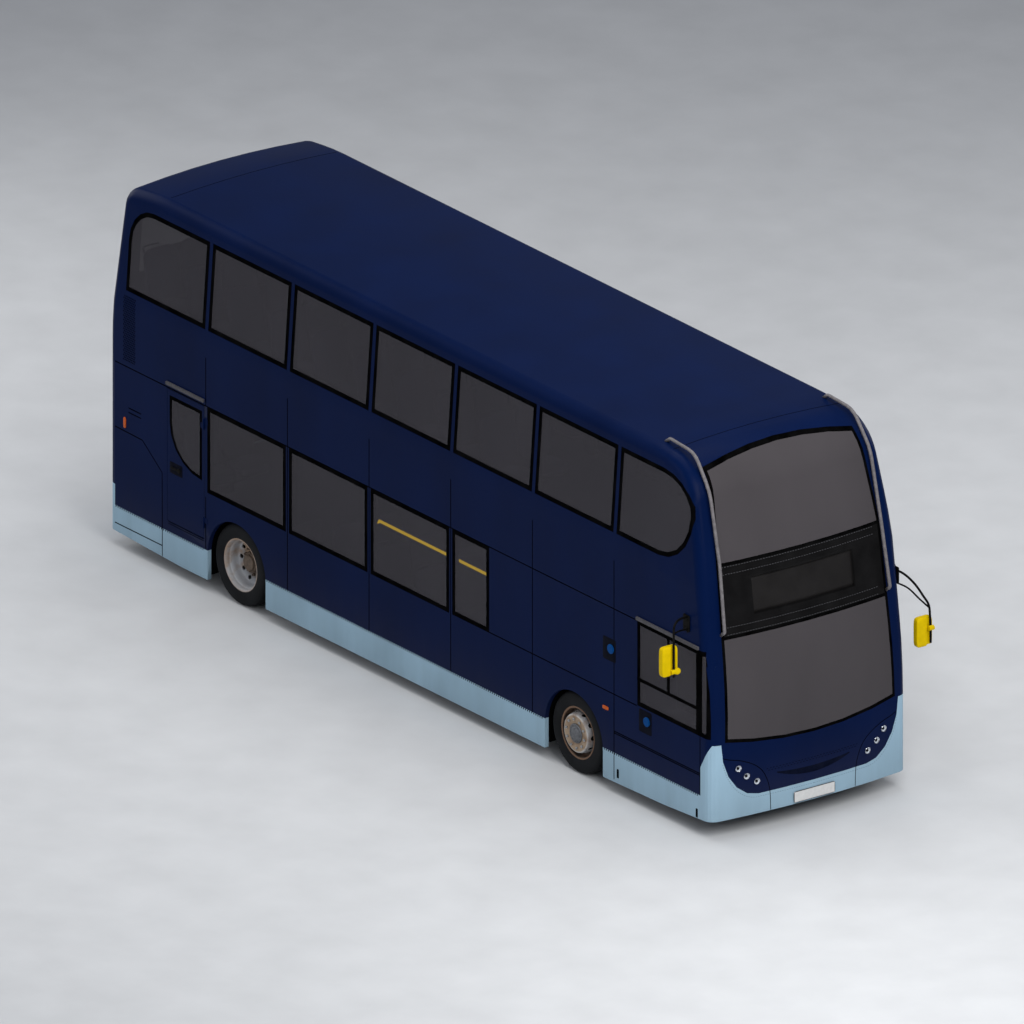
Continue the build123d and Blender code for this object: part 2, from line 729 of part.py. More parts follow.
def stair_outline():
    """Steps that climb forwards, over a sloping underside."""
    corners = [(STAIR_START_X, LOWER_FLOOR_Z)]
    for step in range(STAIR_STEPS):
        x = STAIR_START_X + step * STAIR_GOING
        z = LOWER_FLOOR_Z + (step + 1) * stair_rise
        corners += [(x, z), (x + STAIR_GOING, z)]
    corners += [(stair_end, UPPER_FLOOR_Z - FLOOR_THICKNESS)]
    corners += [(STAIR_START_X + 1.5 * STAIR_GOING, LOWER_FLOOR_Z)]
    return make_face(Polyline(*corners, close=True).edges())


write("staircase", side_prism(stair_outline(), *STAIR_Y))
UPPER_FRONT_FLOOR_X = FRONT_X - 420
upper_floor = span_box(
    REAR_X + 150, UPPER_FRONT_FLOOR_X, -INNER_HALF, INNER_HALF,
    UPPER_FLOOR_Z - FLOOR_THICKNESS, UPPER_FLOOR_Z,
)
well = span_box(STAIR_START_X + 500, stair_end, *STAIR_Y, UPPER_FLOOR_Z - 200, UPPER_FLOOR_Z + 50)
upper_floor -= well

rails = []
for y in (-RAIL_Y, RAIL_Y):
    start, end = RAISED_FLOOR_X, FRONT_X - 260
    rails.append(span_box(start, end, y - RAIL_WIDTH / 2, y + RAIL_WIDTH / 2, LOW_Z - RAIL_HEIGHT, LOW_Z))
rear_rail_z = (TYRE_RADIUS + 110, REAR_FLOOR_Z - FLOOR_THICKNESS)
for y in (-RAIL_Y, RAIL_Y):
    end = RAISED_FLOOR_X - 20
    rails.append(span_box(REAR_X + 240, end, y - RAIL_WIDTH / 2, y + RAIL_WIDTH / 2, *rear_rail_z))
    rails.append(span_box(end - 120, end, y - RAIL_WIDTH / 2, y + RAIL_WIDTH / 2, LOW_Z, rear_rail_z[0]))
    y0, y1 = y - RAIL_WIDTH / 2, y + RAIL_WIDTH / 2
    rails.append(span_box(end - 120, RAISED_FLOOR_X, y0, y1, LOW_Z - RAIL_HEIGHT, LOW_Z))
for x in (RAISED_FLOOR_X + 60, POSTS[2], POSTS[3], POSTS[4], FRONT_X - 300):
    low = LOW_Z - RAIL_HEIGHT
    rails.append(span_box(x - 40, x + 40, -RAIL_Y, RAIL_Y, low, LOW_Z))
for x in (REAR_X + 300, REAR_AXLE_X + 330):
    rails.append(span_box(x - 40, x + 40, -RAIL_Y, RAIL_Y, *rear_rail_z))
outriggers = []
for x in (POSTS[1] + 300, POSTS[2], POSTS[3], FRONT_AXLE_X + FRONT_BOX_HALF + 40):
    outriggers += both_sides(span_box(x - 40, x + 40, RAIL_Y, INNER_HALF, LOW_Z - RAIL_HEIGHT, LOW_Z))
chassis = rails[0]
for member in rails[1:] + outriggers:
    chassis += member
write("chassis_frame", chassis)

engine_half = RAIL_Y - RAIL_WIDTH / 2
engine = span_box(REAR_X + 345, ENGINE_FRONT_X, -engine_half, engine_half, 330, rear_rail_z[0] + 100)
write("engine_block", engine)

# ---------------------------------------------------------------- axles, steering and wheels

BEAM_BOTTOM = LOW_Z - RAIL_HEIGHT - 65
BEAM_TOP = LOW_Z - RAIL_HEIGHT
BEAM_HALF_DEPTH = 50
EYE_RADIUS = 46
EYE_HALF = 50
STUB_RADIUS = 30
BEARING_GAP = 0.3


def front_beam():
    """Dropped axle beam with an upright eye for the kingpin at each end."""
    axle = TYRE_RADIUS
    half = [
        (0, BEAM_BOTTOM),
        (FRONT_BOX_INNER + 30, BEAM_BOTTOM),
        (KINGPIN_Y - 70, axle - EYE_HALF),
        (KINGPIN_Y, axle - EYE_HALF),
        (KINGPIN_Y, axle + EYE_HALF),
        (KINGPIN_Y - 110, axle + EYE_HALF),
        (FRONT_BOX_INNER + 10, BEAM_TOP),
        (0, BEAM_TOP),
    ]
    face = make_face(Polyline(*half, close=True).edges())
    arm = front_prism(face, FRONT_AXLE_X - BEAM_HALF_DEPTH, FRONT_AXLE_X + BEAM_HALF_DEPTH)
    clear = span_box(FRONT_AXLE_X - 100, FRONT_AXLE_X + 100, KINGPIN_Y - 20, KINGPIN_Y + 100, 0, 1000)
    eye = Pos(FRONT_AXLE_X, KINGPIN_Y, axle) * Cylinder(EYE_RADIUS, 2 * EYE_HALF)
    bore = Pos(FRONT_AXLE_X, KINGPIN_Y, axle) * Cylinder(KINGPIN_RADIUS + BEARING_GAP, 400)
    left = (arm - clear) + eye - bore
    return left + mirror(left, Plane.XZ)




def knuckle():
    """Left steering knuckle: kingpin, two arms, an upright and the stub axle."""
    x, y, z = FRONT_AXLE_X, KINGPIN_Y, TYRE_RADIUS
    gap = 5
    arm_high = 34
    pin = Pos(x, y, z) * Cylinder(KINGPIN_RADIUS, 2 * (EYE_HALF + gap + arm_high))
    y0, reach = y + EYE_RADIUS + 10, EYE_HALF + gap + arm_high
    upright = span_box(x - 40, x + 40, y0, y0 + 28, z - reach, z + reach)
    body = pin + upright
    for low in (z + EYE_HALF + gap, z - EYE_HALF - gap - arm_high):
        body += span_box(x - 38, x + 38, y - 34, y + EYE_RADIUS + 38, low, low + arm_high)
    stub = rod((x, y + EYE_RADIUS + 20, z), (x, WHEEL_Y + 95, z), STUB_RADIUS)
    return body + stub


write("steering_knuckle_left", knuckle())
write("steering_knuckle_right", mirror(knuckle(), Plane.XZ))

TYRE_SIDES = 48
RIM_SIDES = 24
BEAD_RADIUS = 275
BEAD_HALF = 112
WIDEST_RADIUS = 370
TREAD_HALF = 108
BARREL_INNER = BEAD_RADIUS - 13
FLANGE = 10
HUB_RADIUS = 88
DISC = 14


def tyre(x, y):
    """Tyre whose sidewalls bulge past its beads."""
    corners = [
        (BEAD_RADIUS, -BEAD_HALF),
        (WIDEST_RADIUS, -TYRE_WIDTH / 2),
        (TYRE_RADIUS, -TREAD_HALF),
        (TYRE_RADIUS, TREAD_HALF),
        (WIDEST_RADIUS, TYRE_WIDTH / 2),
        (BEAD_RADIUS, BEAD_HALF),
    ]
    return turned(corners, x, y, TYRE_RADIUS, TYRE_SIDES)


def front_rim():
    """Front rim: its disc is dished outwards round a projecting hub."""
    edge = BEAD_HALF + 16
    bore = (STUB_RADIUS + BEARING_GAP) / cos(pi / RIM_SIDES)
    corners = [
        (BEAD_RADIUS, -edge),
        (BEAD_RADIUS, edge - FLANGE),
        (RIM_RADIUS, edge - FLANGE),
        (RIM_RADIUS, edge),
        (BARREL_INNER, edge),
        (BARREL_INNER, edge - 60),
        (150, 92),
        (HUB_RADIUS, 92),
        (HUB_RADIUS - 14, 148),
        (0, 148),
        (0, 100),
        (bore, 100),
        (bore, -10),
        (HUB_RADIUS, -10),
        (HUB_RADIUS, 92 - DISC),
        (145, 92 - DISC),
        (BARREL_INNER, edge - 60 - DISC),
        (BARREL_INNER, -edge),
    ]
    return turned(corners, FRONT_AXLE_X, WHEEL_Y, TYRE_RADIUS, RIM_SIDES)


REAR_HUB_RADIUS = 120
REAR_STUB_RADIUS = 70


def twin_rims():
    """Both rear rims bolted back to back, with the hub in the deep outer dish."""
    edge = TWIN_PITCH / 2 + BEAD_HALF + 16
    bore = (REAR_STUB_RADIUS + BEARING_GAP) / cos(pi / RIM_SIDES)
    corners = [
        (BEAD_RADIUS, -edge),
        (BEAD_RADIUS, edge - FLANGE),
        (RIM_RADIUS, edge - FLANGE),
        (RIM_RADIUS, edge),
        (BARREL_INNER, edge),
        (BARREL_INNER, 60),
        (190, 2 * DISC),
        (REAR_HUB_RADIUS, 2 * DISC),
        (REAR_HUB_RADIUS - 20, 190),
        (0, 190),
        (0, 150),
        (bore, 150),
        (bore, -2 * DISC),
        (BARREL_INNER, -2 * DISC),
        (BARREL_INNER, -edge),
    ]
    return turned(corners, REAR_AXLE_X, WHEEL_Y - TWIN_PITCH / 2, TYRE_RADIUS, RIM_SIDES)


front_tyre = tyre(FRONT_AXLE_X, WHEEL_Y)
twin_tyres = joined([tyre(REAR_AXLE_X, WHEEL_Y), tyre(REAR_AXLE_X, WHEEL_Y - TWIN_PITCH)])
wheel_parts = {
    "front_tyre": front_tyre,
    "front_rim": front_rim(),
    "rear_tyres": twin_tyres,
    "rear_rims": twin_rims(),
}
for name, wheel_part in wheel_parts.items():
    for side, placed in zip(("left", "right"), both_sides(wheel_part)):
        write(f"{name}_{side}", placed)

rear_stub_end = WHEEL_Y - TWIN_PITCH / 2 + 140
stub_ends = [(REAR_AXLE_X, y, TYRE_RADIUS) for y in (-rear_stub_end, rear_stub_end)]
tube = rod(*stub_ends, REAR_STUB_RADIUS)
casing_corners = [(0, -150), (110, -150), (190, -60), (190, 60), (110, 150), (0, 150)]
casing = turned(casing_corners, REAR_AXLE_X, 0, TYRE_RADIUS, 16)
pads = []
for y in (-RAIL_Y, RAIL_Y):
    pads.append(span_box(REAR_AXLE_X - 60, REAR_AXLE_X + 60, y - 40, y + 40, TYRE_RADIUS, rear_rail_z[0]))
write("axles", front_beam(), tube + casing + pads[0] + pads[1])

# ---------------------------------------------------------------- emergency door and engine lid

HINGE_RADIUS = 9
HINGE_STANDOFF = 9.5  # hinge axis, out from the skin
HINGE_LEAF = (60, 4)  # width and thickness


def emergency_door():
    """Door slab in the right side wall, less its window, with its hinge knuckles."""
    x0, x1 = EMERGENCY_DOOR
    z0, z1 = EMERGENCY_DOOR_Z
    slab = rectangle(x0 + PANEL_GAP, x1 - PANEL_GAP, z0 + PANEL_GAP, z1 - PANEL_GAP)
    return flat_wall(WALL) & side_prism(slab - emergency_window(0), *RIGHT)


def hinge_pair(x, z, height):
    """Hinge on the right side at a seam: the door's part and the body's part."""
    wide, thick = HINGE_LEAF
    y = -HALF_WIDTH - HINGE_STANDOFF
    parts = []
    for toward, low in ((-1, z), (1, z + height / 2 + 0.3)):
        knuckle_height = height / 2 - 0.3
        barrel = Pos(x, y, low + knuckle_height / 2) * Cylinder(HINGE_RADIUS, knuckle_height)
        ends = sorted((x, x + toward * wide))
        leaf = span_box(*ends, -HALF_WIDTH - thick, -HALF_WIDTH, low, low + knuckle_height)
        web_ends = sorted((x, x + toward * HINGE_RADIUS))
        web = span_box(*web_ends, y, -HALF_WIDTH - 1, low, low + knuckle_height)
        top = low + knuckle_height + 1
        near = span_box(x - PANEL_GAP, x + PANEL_GAP, -HALF_WIDTH - 1, -HALF_WIDTH + 1, low - 1, top)
        parts.append(barrel + leaf + web - near)
    return parts


HINGE_X = EMERGENCY_DOOR[1] - PANEL_GAP / 2
door = emergency_door()
for z in (EMERGENCY_DOOR_Z[0] + 120, EMERGENCY_DOOR_Z[1] - 260):
    moving, fixed = hinge_pair(HINGE_X, z, 120)
    door += moving
    wall_right += fixed
write("emergency_door", door)
write("side_wall_right", wall_right)
emergency_ring = side_prism(emergency_window(0) - emergency_window(FRAME_WIDTH * 0.8), *RIGHT)
write("emergency_door_frame", flat_wall(WALL) & emergency_ring)
write("emergency_door_pane", flat_wall(GLASS) & side_prism(emergency_window(FRAME_WIDTH * 0.8), *RIGHT))

# Engine lid, hinged along its top edge
lid_box = span_box(
    REAR_X - 50, REAR_X + 130, -LID_HALF + PANEL_GAP, LID_HALF - PANEL_GAP,
    LID_Z[0] + PANEL_GAP, LID_Z[1] - PANEL_GAP,
)
lid = SHELL & lid_box
LID_HINGE_X = REAR_X - HINGE_STANDOFF
LID_HINGE_Z = LID_Z[1] - PANEL_GAP / 2
for y in (-600, 600):
    for toward, low in ((-1, y), (1, y + 60.6)):
        barrel = rod((LID_HINGE_X, low, LID_HINGE_Z), (LID_HINGE_X, low + 60, LID_HINGE_Z), HINGE_RADIUS)
        ends = sorted((LID_HINGE_Z, LID_HINGE_Z + toward * 60))
        leaf = span_box(LID_HINGE_X, REAR_X + 12, low, low + 60, *ends)
        z0, z1 = LID_HINGE_Z - PANEL_GAP, LID_HINGE_Z + PANEL_GAP
        near = span_box(REAR_X - 1, REAR_X + 20, low - 1, low + 61, z0, z1)
        piece = barrel + (leaf - OUTER) - near
        if toward < 0:
            lid += piece
        else:
            rear_panel += piece
write("engine_lid", lid)
write("rear_panel", rear_panel)

# ---------------------------------------------------------------- entrance doors

leaf_width = (DOORWAY[1] - DOORWAY[0] - DOOR_CENTRE_GAP) / 2 - PANEL_GAP
LEAF_Z = (DOORWAY_Z[0] + 55, DOORWAY_Z[1] - 60)
HINGE_LINE_Y = HALF_WIDTH - DOOR_LEAF_THICKNESS / 2 - DOOR_HINGE_DEPTH
SHAFT_Y = HINGE_LINE_Y - DOOR_SHAFT_INSET
SHAFT_X = DOORWAY[0] + PANEL_GAP + DOOR_SHAFT_INSET
LEAF_HINGE_X = DOORWAY[0] + PANEL_GAP + leaf_width / 2
ARM_HEIGHT = 20
ARM_WIDTH = 36
DOOR_PIN_RADIUS = 9
LEAF_FRAME = 55


def door_leaf():
    """Rear leaf of the pair: glazed slab with a pin bracket over and under it."""
    x0 = DOORWAY[0] + PANEL_GAP
    x1 = x0 + leaf_width
    face = rectangle(x0, x1, *LEAF_Z) - door_glass_face()
    leaf = side_prism(face, HALF_WIDTH - DOOR_LEAF_THICKNESS, HALF_WIDTH)
    for sign, edge in ((1, LEAF_Z[1]), (-1, LEAF_Z[0])):
        foot = edge - sign * 40
        inner = HALF_WIDTH - DOOR_LEAF_THICKNESS
        ends = sorted((foot, edge + sign * 2))
        x = LEAF_HINGE_X
        leaf += span_box(x - 20, x + 20, HINGE_LINE_Y - 20, inner, *ends)
        pin_ends = ((x, HINGE_LINE_Y, foot), (x, HINGE_LINE_Y, edge + sign * (8 + ARM_HEIGHT)))
        leaf += rod(*pin_ends, DOOR_PIN_RADIUS)
    return leaf


def door_glass_face():
    """Glass of the rear leaf."""
    x0 = DOORWAY[0] + PANEL_GAP
    return rectangle(x0 + LEAF_FRAME, x0 + leaf_width - LEAF_FRAME, LEAF_Z[0] + 120, LEAF_Z[1] - LEAF_FRAME)


def door_arms():
    """Turning shaft of the rear leaf with an arm over and under the leaf."""
    shaft = rod((SHAFT_X, SHAFT_Y, LOWER_FLOOR_Z + 0.5), (SHAFT_X, SHAFT_Y, DOORWAY_Z[1] - 0.5), 17)
    for sign, edge in ((1, LEAF_Z[1]), (-1, LEAF_Z[0])):
        ends = sorted((edge + sign * 8, edge + sign * (8 + ARM_HEIGHT)))
        start, end = Vector(SHAFT_X, SHAFT_Y), Vector(LEAF_HINGE_X, HINGE_LINE_Y)
        run = end - start
        middle = (start + end) * 0.5
        beam = Box(run.length, ARM_WIDTH, ARM_HEIGHT)
        turn = Rotation(0, 0, Vector(1, 0, 0).get_signed_angle(run, Vector(0, 0, 1)))
        arm = Pos(middle.X, middle.Y, sum(ends) / 2) * turn * beam
        eye_low, eye_high = (end.X, end.Y, ends[0]), (end.X, end.Y, ends[1])
        arm += bar(eye_low, eye_high, ARM_WIDTH / 2)
        arm -= bar(eye_low, eye_high, (DOOR_PIN_RADIUS + BEARING_GAP) / cos(pi / 8))
        shaft += arm
    return shaft


DOORWAY_MIDDLE = Plane(origin=(sum(DOORWAY) / 2, 0, 0), z_dir=(1, 0, 0))
leaf = door_leaf()
pane = side_prism(door_glass_face(), HALF_WIDTH - DOOR_LEAF_THICKNESS + 10, HALF_WIDTH - 8)
write("door_leaf_rear", leaf)
write("door_leaf_front", mirror(leaf, DOORWAY_MIDDLE))
write("door_glass_rear", pane)
write("door_glass_front", mirror(pane, DOORWAY_MIDDLE))
write("door_arms_rear", door_arms())
write("door_arms_front", mirror(door_arms(), DOORWAY_MIDDLE))

# Header over the doorway that the shafts turn in
header_top = UPPER_FLOOR_Z - FLOOR_THICKNESS
header = span_box(DOORWAY[0] - 40, DOORWAY[1] + 40, SHAFT_Y - 60, INNER_HALF, DOORWAY_Z[1], header_top)
write("upper_floor", upper_floor + header)

# ---------------------------------------------------------------- seats, cab and handrails

SEAT_PITCH = 730
SEAT_HALF = 460
SEAT_HEIGHT = 1050


def seat_outline(x, z):
    """Side view of a bench: foot, cushion and a raked back that leans rearwards."""
    corners = [
        (x + 60, z),
        (x + 300, z),
        (x + 300, z + 330),
        (x + 430, z + 340),
        (x + 430, z + 430),
        (x + 90, z + 420),
        (x - 10, z + SEAT_HEIGHT),
        (x - 80, z + SEAT_HEIGHT),
        (x + 10, z + 330),
        (x + 60, z + 330),
    ]
    return make_face(Polyline(*corners, close=True).edges())


def bench(x, z, y):
    """Double seat at a place along the bus."""
    return side_prism(seat_outline(x, z), y - SEAT_HALF, y + SEAT_HALF)


SEAT_Y = INNER_HALF - SEAT_HALF - 12
UPPER_SEAT_Y = SEAT_Y - lean(UPPER_FLOOR_Z + SEAT_HEIGHT)
upper_seats = []
upper_seat_end = UPPER_FRONT_FLOOR_X - 1250
row = 0
while REAR_X + 480 + row * SEAT_PITCH < upper_seat_end:
    x = REAR_X + 480 + row * SEAT_PITCH
    upper_seats.append(bench(x, UPPER_FLOOR_Z, UPPER_SEAT_Y))
    if x + 450 < STAIR_START_X + 480 or x - 90 > stair_end + 20:
        upper_seats.append(bench(x, UPPER_FLOOR_Z, -UPPER_SEAT_Y))
    row += 1
write("seats_upper", *upper_seats)

lower_seats = []
for row in range(4):
    x = REAR_X + 480 + row * SEAT_PITCH
    for y in (-SEAT_Y, SEAT_Y):
        if abs(x + 170 - REAR_AXLE_X) > REAR_BOX_HALF + 260:
            lower_seats.append(bench(x, REAR_FLOOR_Z, y))
for row in range(3):
    x = RAISED_FLOOR_X + 420 + row * SEAT_PITCH
    for y in (-SEAT_Y, SEAT_Y):
        if y > 0 or x + 450 < STAIR_START_X:
            lower_seats.append(bench(x, LOWER_FLOOR_Z, y))

CAB_X = FRONT_AXLE_X + FRONT_BOX_HALF + 60
CAB_FLOOR_TOP = LOWER_FLOOR_Z + 140
CAB_Y = (-INNER_HALF, -430)
cab_floor = span_box(CAB_X, FRONT_X - 420, *CAB_Y, LOWER_FLOOR_Z, CAB_FLOOR_TOP)
bulkhead = span_box(CAB_X - 40, CAB_X, *CAB_Y, LOWER_FLOOR_Z, UPPER_FLOOR_Z - FLOOR_THICKNESS)
screen = span_box(CAB_X, CAB_X + 900, CAB_Y[1] - 30, CAB_Y[1], CAB_FLOOR_TOP, 1500)
write("cab_partition", cab_floor + bulkhead + screen)
driver = side_prism(seat_outline(CAB_X + 250, CAB_FLOOR_TOP), -1080, -620)
write("seats_lower", *lower_seats, driver)
dash_corners = [
    (FRONT_X - 700, CAB_FLOOR_TOP),
    (FRONT_X - 420, CAB_FLOOR_TOP),
    (FRONT_X - 240, 960),
    (FRONT_X - 560, 1130),
    (FRONT_X - 760, 1060),
]
dash_face = make_face(Polyline(*dash_corners, close=True).edges())
WHEEL_CENTRE = (FRONT_X - 830, -850, 1235)
STEERING_WHEEL_TILT = -32
ring = extrude(RegularPolygon(233, 20) - RegularPolygon(207, 20), 13, both=True)
ring += Cylinder(50, 26) + Box(430, 30, 16)
column = Pos(0, 0, -130) * Cylinder(26, 240)
steering_wheel = Pos(*WHEEL_CENTRE) * Rotation(0, STEERING_WHEEL_TILT, 0) * (ring + column)
write("steering_wheel", steering_wheel)
write("dashboard", side_prism(dash_face, -1120, CAB_Y[1]) - steering_wheel)

RAIL_RADIUS = 16
AISLE_POLE_Y = SEAT_Y - SEAT_HALF - RAIL_RADIUS - 12
POLE_SPOTS = [
    (POSTS[2] + 700, AISLE_POLE_Y),
    (POSTS[3] + 500, -AISLE_POLE_Y),
    (POSTS[4] + 500, AISLE_POLE_Y),
    (DOORWAY[0] - 60, 2 * AISLE_POLE_Y),
]
pole_top = UPPER_FLOOR_Z - FLOOR_THICKNESS
poles = [bar((x, y, LOWER_FLOOR_Z), (x, y, pole_top), RAIL_RADIUS) for x, y in POLE_SPOTS]
RAIL_Z = 1683
rail_y = -INNER_HALF + 60
low_rail = bar((POSTS[2] + 30, rail_y, RAIL_Z), (SHORT_WINDOW_END - 30, rail_y, RAIL_Z), RAIL_RADIUS)
for x in (POSTS[2] + 60, POSTS[3], SHORT_WINDOW_END - 60):
    low_rail += bar((x, rail_y, RAIL_Z), (x, -INNER_HALF, RAIL_Z), 11)
write("handrails", *poles, low_rail)

# ---------------------------------------------------------------- outside fittings

GUARD_RADIUS = 19


def guard_tube():
    """Tube that keeps branches off the left front corner."""
    y_top, y_low = SCREEN_HALF_TOP + 50, SCREEN_HALF_LOW - 30
    route = [
        (FRONT_X - 1250, y_top, HEIGHT - 80),
        (FRONT_X - 1130, y_top, HEIGHT + 10),
        (FRONT_X - 700, y_top + 4, HEIGHT - 15),
        (FRONT_X - 420, y_top + 16, HEIGHT - 370),
        (FRONT_X - 240, y_low - 26, BAND_TOP + 20),
        (FRONT_X - 118, y_low, BAND_BOTTOM + 90),
        (FRONT_X - 190, y_low, BAND_BOTTOM + 40),
    ]
    return bent_tube(route, [70, 250, 500, 700, 30], GUARD_RADIUS) - OUTER


write("guard_tubes", *both_sides(guard_tube()))

drip_height, drip_depth = 34, 22
drip_rails = []
for ends, z in ((CAB_WINDOW, CAB_HEAD + 4), (EMERGENCY_DOOR, EMERGENCY_DOOR_Z[1] + 42)):
    drip_rails.append(span_box(*ends, -HALF_WIDTH - drip_depth, -HALF_WIDTH, z, z + drip_height))
z = DOORWAY_Z[1] + 20
drip_rails.append(span_box(*DOORWAY, HALF_WIDTH, HALF_WIDTH + drip_depth, z, z + drip_height))
write("drip_rails", *drip_rails)

MIRROR_ARM_RADIUS = 13
MIRROR_PLATE_Z = 2330
MIRROR_HEAD = (80, 200, 330)  # depth, width and height
# wall plate and head behind the front, the head's reach from the side and its height
MIRROR_LEFT = (295, 216, 315, 1637)
MIRROR_RIGHT = (505, 431, 285, 1987)


def mirror_arm(plate_behind, head_behind, reach, head_z):
    """Left mirror bracket: wall plate, bent tube that carries the head, and a stay."""
    plate_x, x, y, z = FRONT_X - plate_behind, FRONT_X - head_behind, HALF_WIDTH, MIRROR_PLATE_Z
    plate = span_box(plate_x - 65, plate_x + 65, y, y + 12, z - 95, z + 95)
    lower_end = head_z - MIRROR_HEAD[2] / 2 - 65
    start = (plate_x, y + 8, z + 40)
    shoulder = ((plate_x + x) / 2, y + reach / 2, z + 100)
    route = [start, shoulder, (x, y + reach, z + 90), (x, y + reach, lower_end)]
    stay = bar((plate_x, y + 8, z - 60), (x, y + reach, z - 70), MIRROR_ARM_RADIUS * 0.8)
    return plate + bent_tube(route, [60, 60], MIRROR_ARM_RADIUS) + stay


def mirror_head(plate_behind, head_behind, reach, head_z):
    """Left mirror head: a box with rounded corners, clamped round the tube's lower run."""
    x, y = FRONT_X - head_behind, HALF_WIDTH + reach
    head = chamfer(Box(*MIRROR_HEAD).edges().filter_by(Axis.X), 25)
    hole = (MIRROR_ARM_RADIUS + 0.3) / cos(pi / 8)
    tube = bar((x, y, head_z - MIRROR_HEAD[2]), (x, y, head_z + MIRROR_HEAD[2]), hole)
    return Pos(x - 20, y, head_z) * head - tube


write("mirror_arms", mirror_arm(*MIRROR_LEFT), mirror(mirror_arm(*MIRROR_RIGHT), Plane.XZ))
write("mirror_heads", mirror_head(*MIRROR_LEFT), mirror(mirror_head(*MIRROR_RIGHT), Plane.XZ))

write("headlamps", *(SHELL & lamp for lamp in HEADLAMPS))

TAIL_Y = HALF_WIDTH - 150
tail_lamps = []
for z in (820, 950, 1080):
    for y in (-TAIL_Y, TAIL_Y):
        tail_lamps.append(bar((REAR_X + 60, y, z), (REAR_X - 8, y, z), 48) - OUTER)
write("tail_lamps", *tail_lamps)

PLATE = (520, 12, 112)
front_plate = Pos(FRONT_X + 4, 0, 290) * Rotation(0, 0, 90) * Box(*PLATE)
rear_plate = Pos(REAR_X - 3, 0, 560) * Rotation(0, 0, 90) * Box(*PLATE)
write("number_plates", front_plate - OUTER, rear_plate - OUTER)

markers = []
for sign in (-1, 1):
    for x in (POSTS[5] - 144, POSTS[3], POSTS[1] + 300):
        markers.append(Pos(x, sign * (HALF_WIDTH + 5), ARCH_TOP) * Box(100, 10, 40))
    markers.append(Pos(REAR_SEAM_X + 172, sign * (HALF_WIDTH + 5), 1443) * Box(40, 10, 120))
write("marker_lamps", *markers)

CAP_RADIUS = 52
caps = []
for x, z in ((POSTS[5] - 80, 1600), (CAB_WINDOW[0] + 141, 980)):
    caps.append(rod((x, -HALF_WIDTH, z), (x, -HALF_WIDTH - 16, z), CAP_RADIUS))
write("filler_caps", *caps)
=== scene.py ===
import json

import bmesh
import bpy
import numpy as np
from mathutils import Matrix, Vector
from mathutils.bvhtree import BVHTree


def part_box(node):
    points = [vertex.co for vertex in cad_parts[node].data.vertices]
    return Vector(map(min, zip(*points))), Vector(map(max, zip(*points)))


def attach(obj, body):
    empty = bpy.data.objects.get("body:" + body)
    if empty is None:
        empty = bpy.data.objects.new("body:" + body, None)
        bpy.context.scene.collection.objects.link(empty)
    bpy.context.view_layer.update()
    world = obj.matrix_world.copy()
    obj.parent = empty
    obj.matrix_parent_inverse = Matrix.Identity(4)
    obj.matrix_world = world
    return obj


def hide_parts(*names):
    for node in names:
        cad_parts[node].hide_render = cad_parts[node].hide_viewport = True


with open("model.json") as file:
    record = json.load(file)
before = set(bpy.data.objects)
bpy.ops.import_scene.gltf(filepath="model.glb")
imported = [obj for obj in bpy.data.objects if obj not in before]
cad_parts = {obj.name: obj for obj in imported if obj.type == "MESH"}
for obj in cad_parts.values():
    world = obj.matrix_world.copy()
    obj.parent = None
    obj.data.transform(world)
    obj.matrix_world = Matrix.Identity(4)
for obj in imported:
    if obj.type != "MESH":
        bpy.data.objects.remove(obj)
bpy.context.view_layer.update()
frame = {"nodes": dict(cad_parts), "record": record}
nodes = frame["nodes"]

# ---------------------------------------------------------------- camera, light and floor
# A long-lens view from the front right corner, above the roof, lit by five large soft boxes.
# The floor is one plain pale sheet.

VIEW_RIGHT = np.array([0.5986, 0.8011, 0.0])  # level, across the view
VIEW_RISE = np.radians(21.8)
VIEW_TARGET = np.array([0.0, 0.030, 1.724])
VIEW_WIDTH = 10.667
VIEW_DISTANCE = 40.0
FLOOR_HALF = 60

ahead = np.array([-VIEW_RIGHT[1] * np.cos(VIEW_RISE), VIEW_RIGHT[0] * np.cos(VIEW_RISE), -np.sin(VIEW_RISE)])
camera_data = bpy.data.cameras.new("camera")
camera_data.type = "ORTHO"
camera_data.ortho_scale = VIEW_WIDTH
camera_data.clip_end = 200
camera = bpy.data.objects.new("camera", camera_data)
camera.location = VIEW_TARGET - ahead * VIEW_DISTANCE
camera.rotation_euler = Vector(ahead).to_track_quat("-Z", "Y").to_euler()
bpy.context.scene.collection.objects.link(camera)
bpy.context.scene.camera = camera
bpy.context.scene.view_settings.view_transform = "Standard"

# name, place, power in watts, side in metres
for name, place, power, side in (
    ("key", (14, -3, 10), 1450, 9),
    ("side", (-2, -16, 7), 430, 10),
    ("top", (0, 0, 15), 1050, 12),
    ("left", (2, 16, 8), 600, 9),
    ("rear", (-15, -3, 7), 600, 8),
):
    lamp = bpy.data.lights.new(name, "AREA")
    lamp.energy, lamp.size = power, side
    lamp_object = bpy.data.objects.new(name, lamp)
    lamp_object.location = place
    lamp_object.rotation_euler = (Vector((0, 0, 1.8)) - Vector(place)).to_track_quat("-Z", "Y").to_euler()
    bpy.context.scene.collection.objects.link(lamp_object)
world = bpy.data.worlds.new("studio")
world.use_nodes = True
world.node_tree.nodes["Background"].inputs["Color"].default_value = (0.86, 0.9, 1.0, 1)
world.node_tree.nodes["Background"].inputs["Strength"].default_value = 0.3
bpy.context.scene.world = world


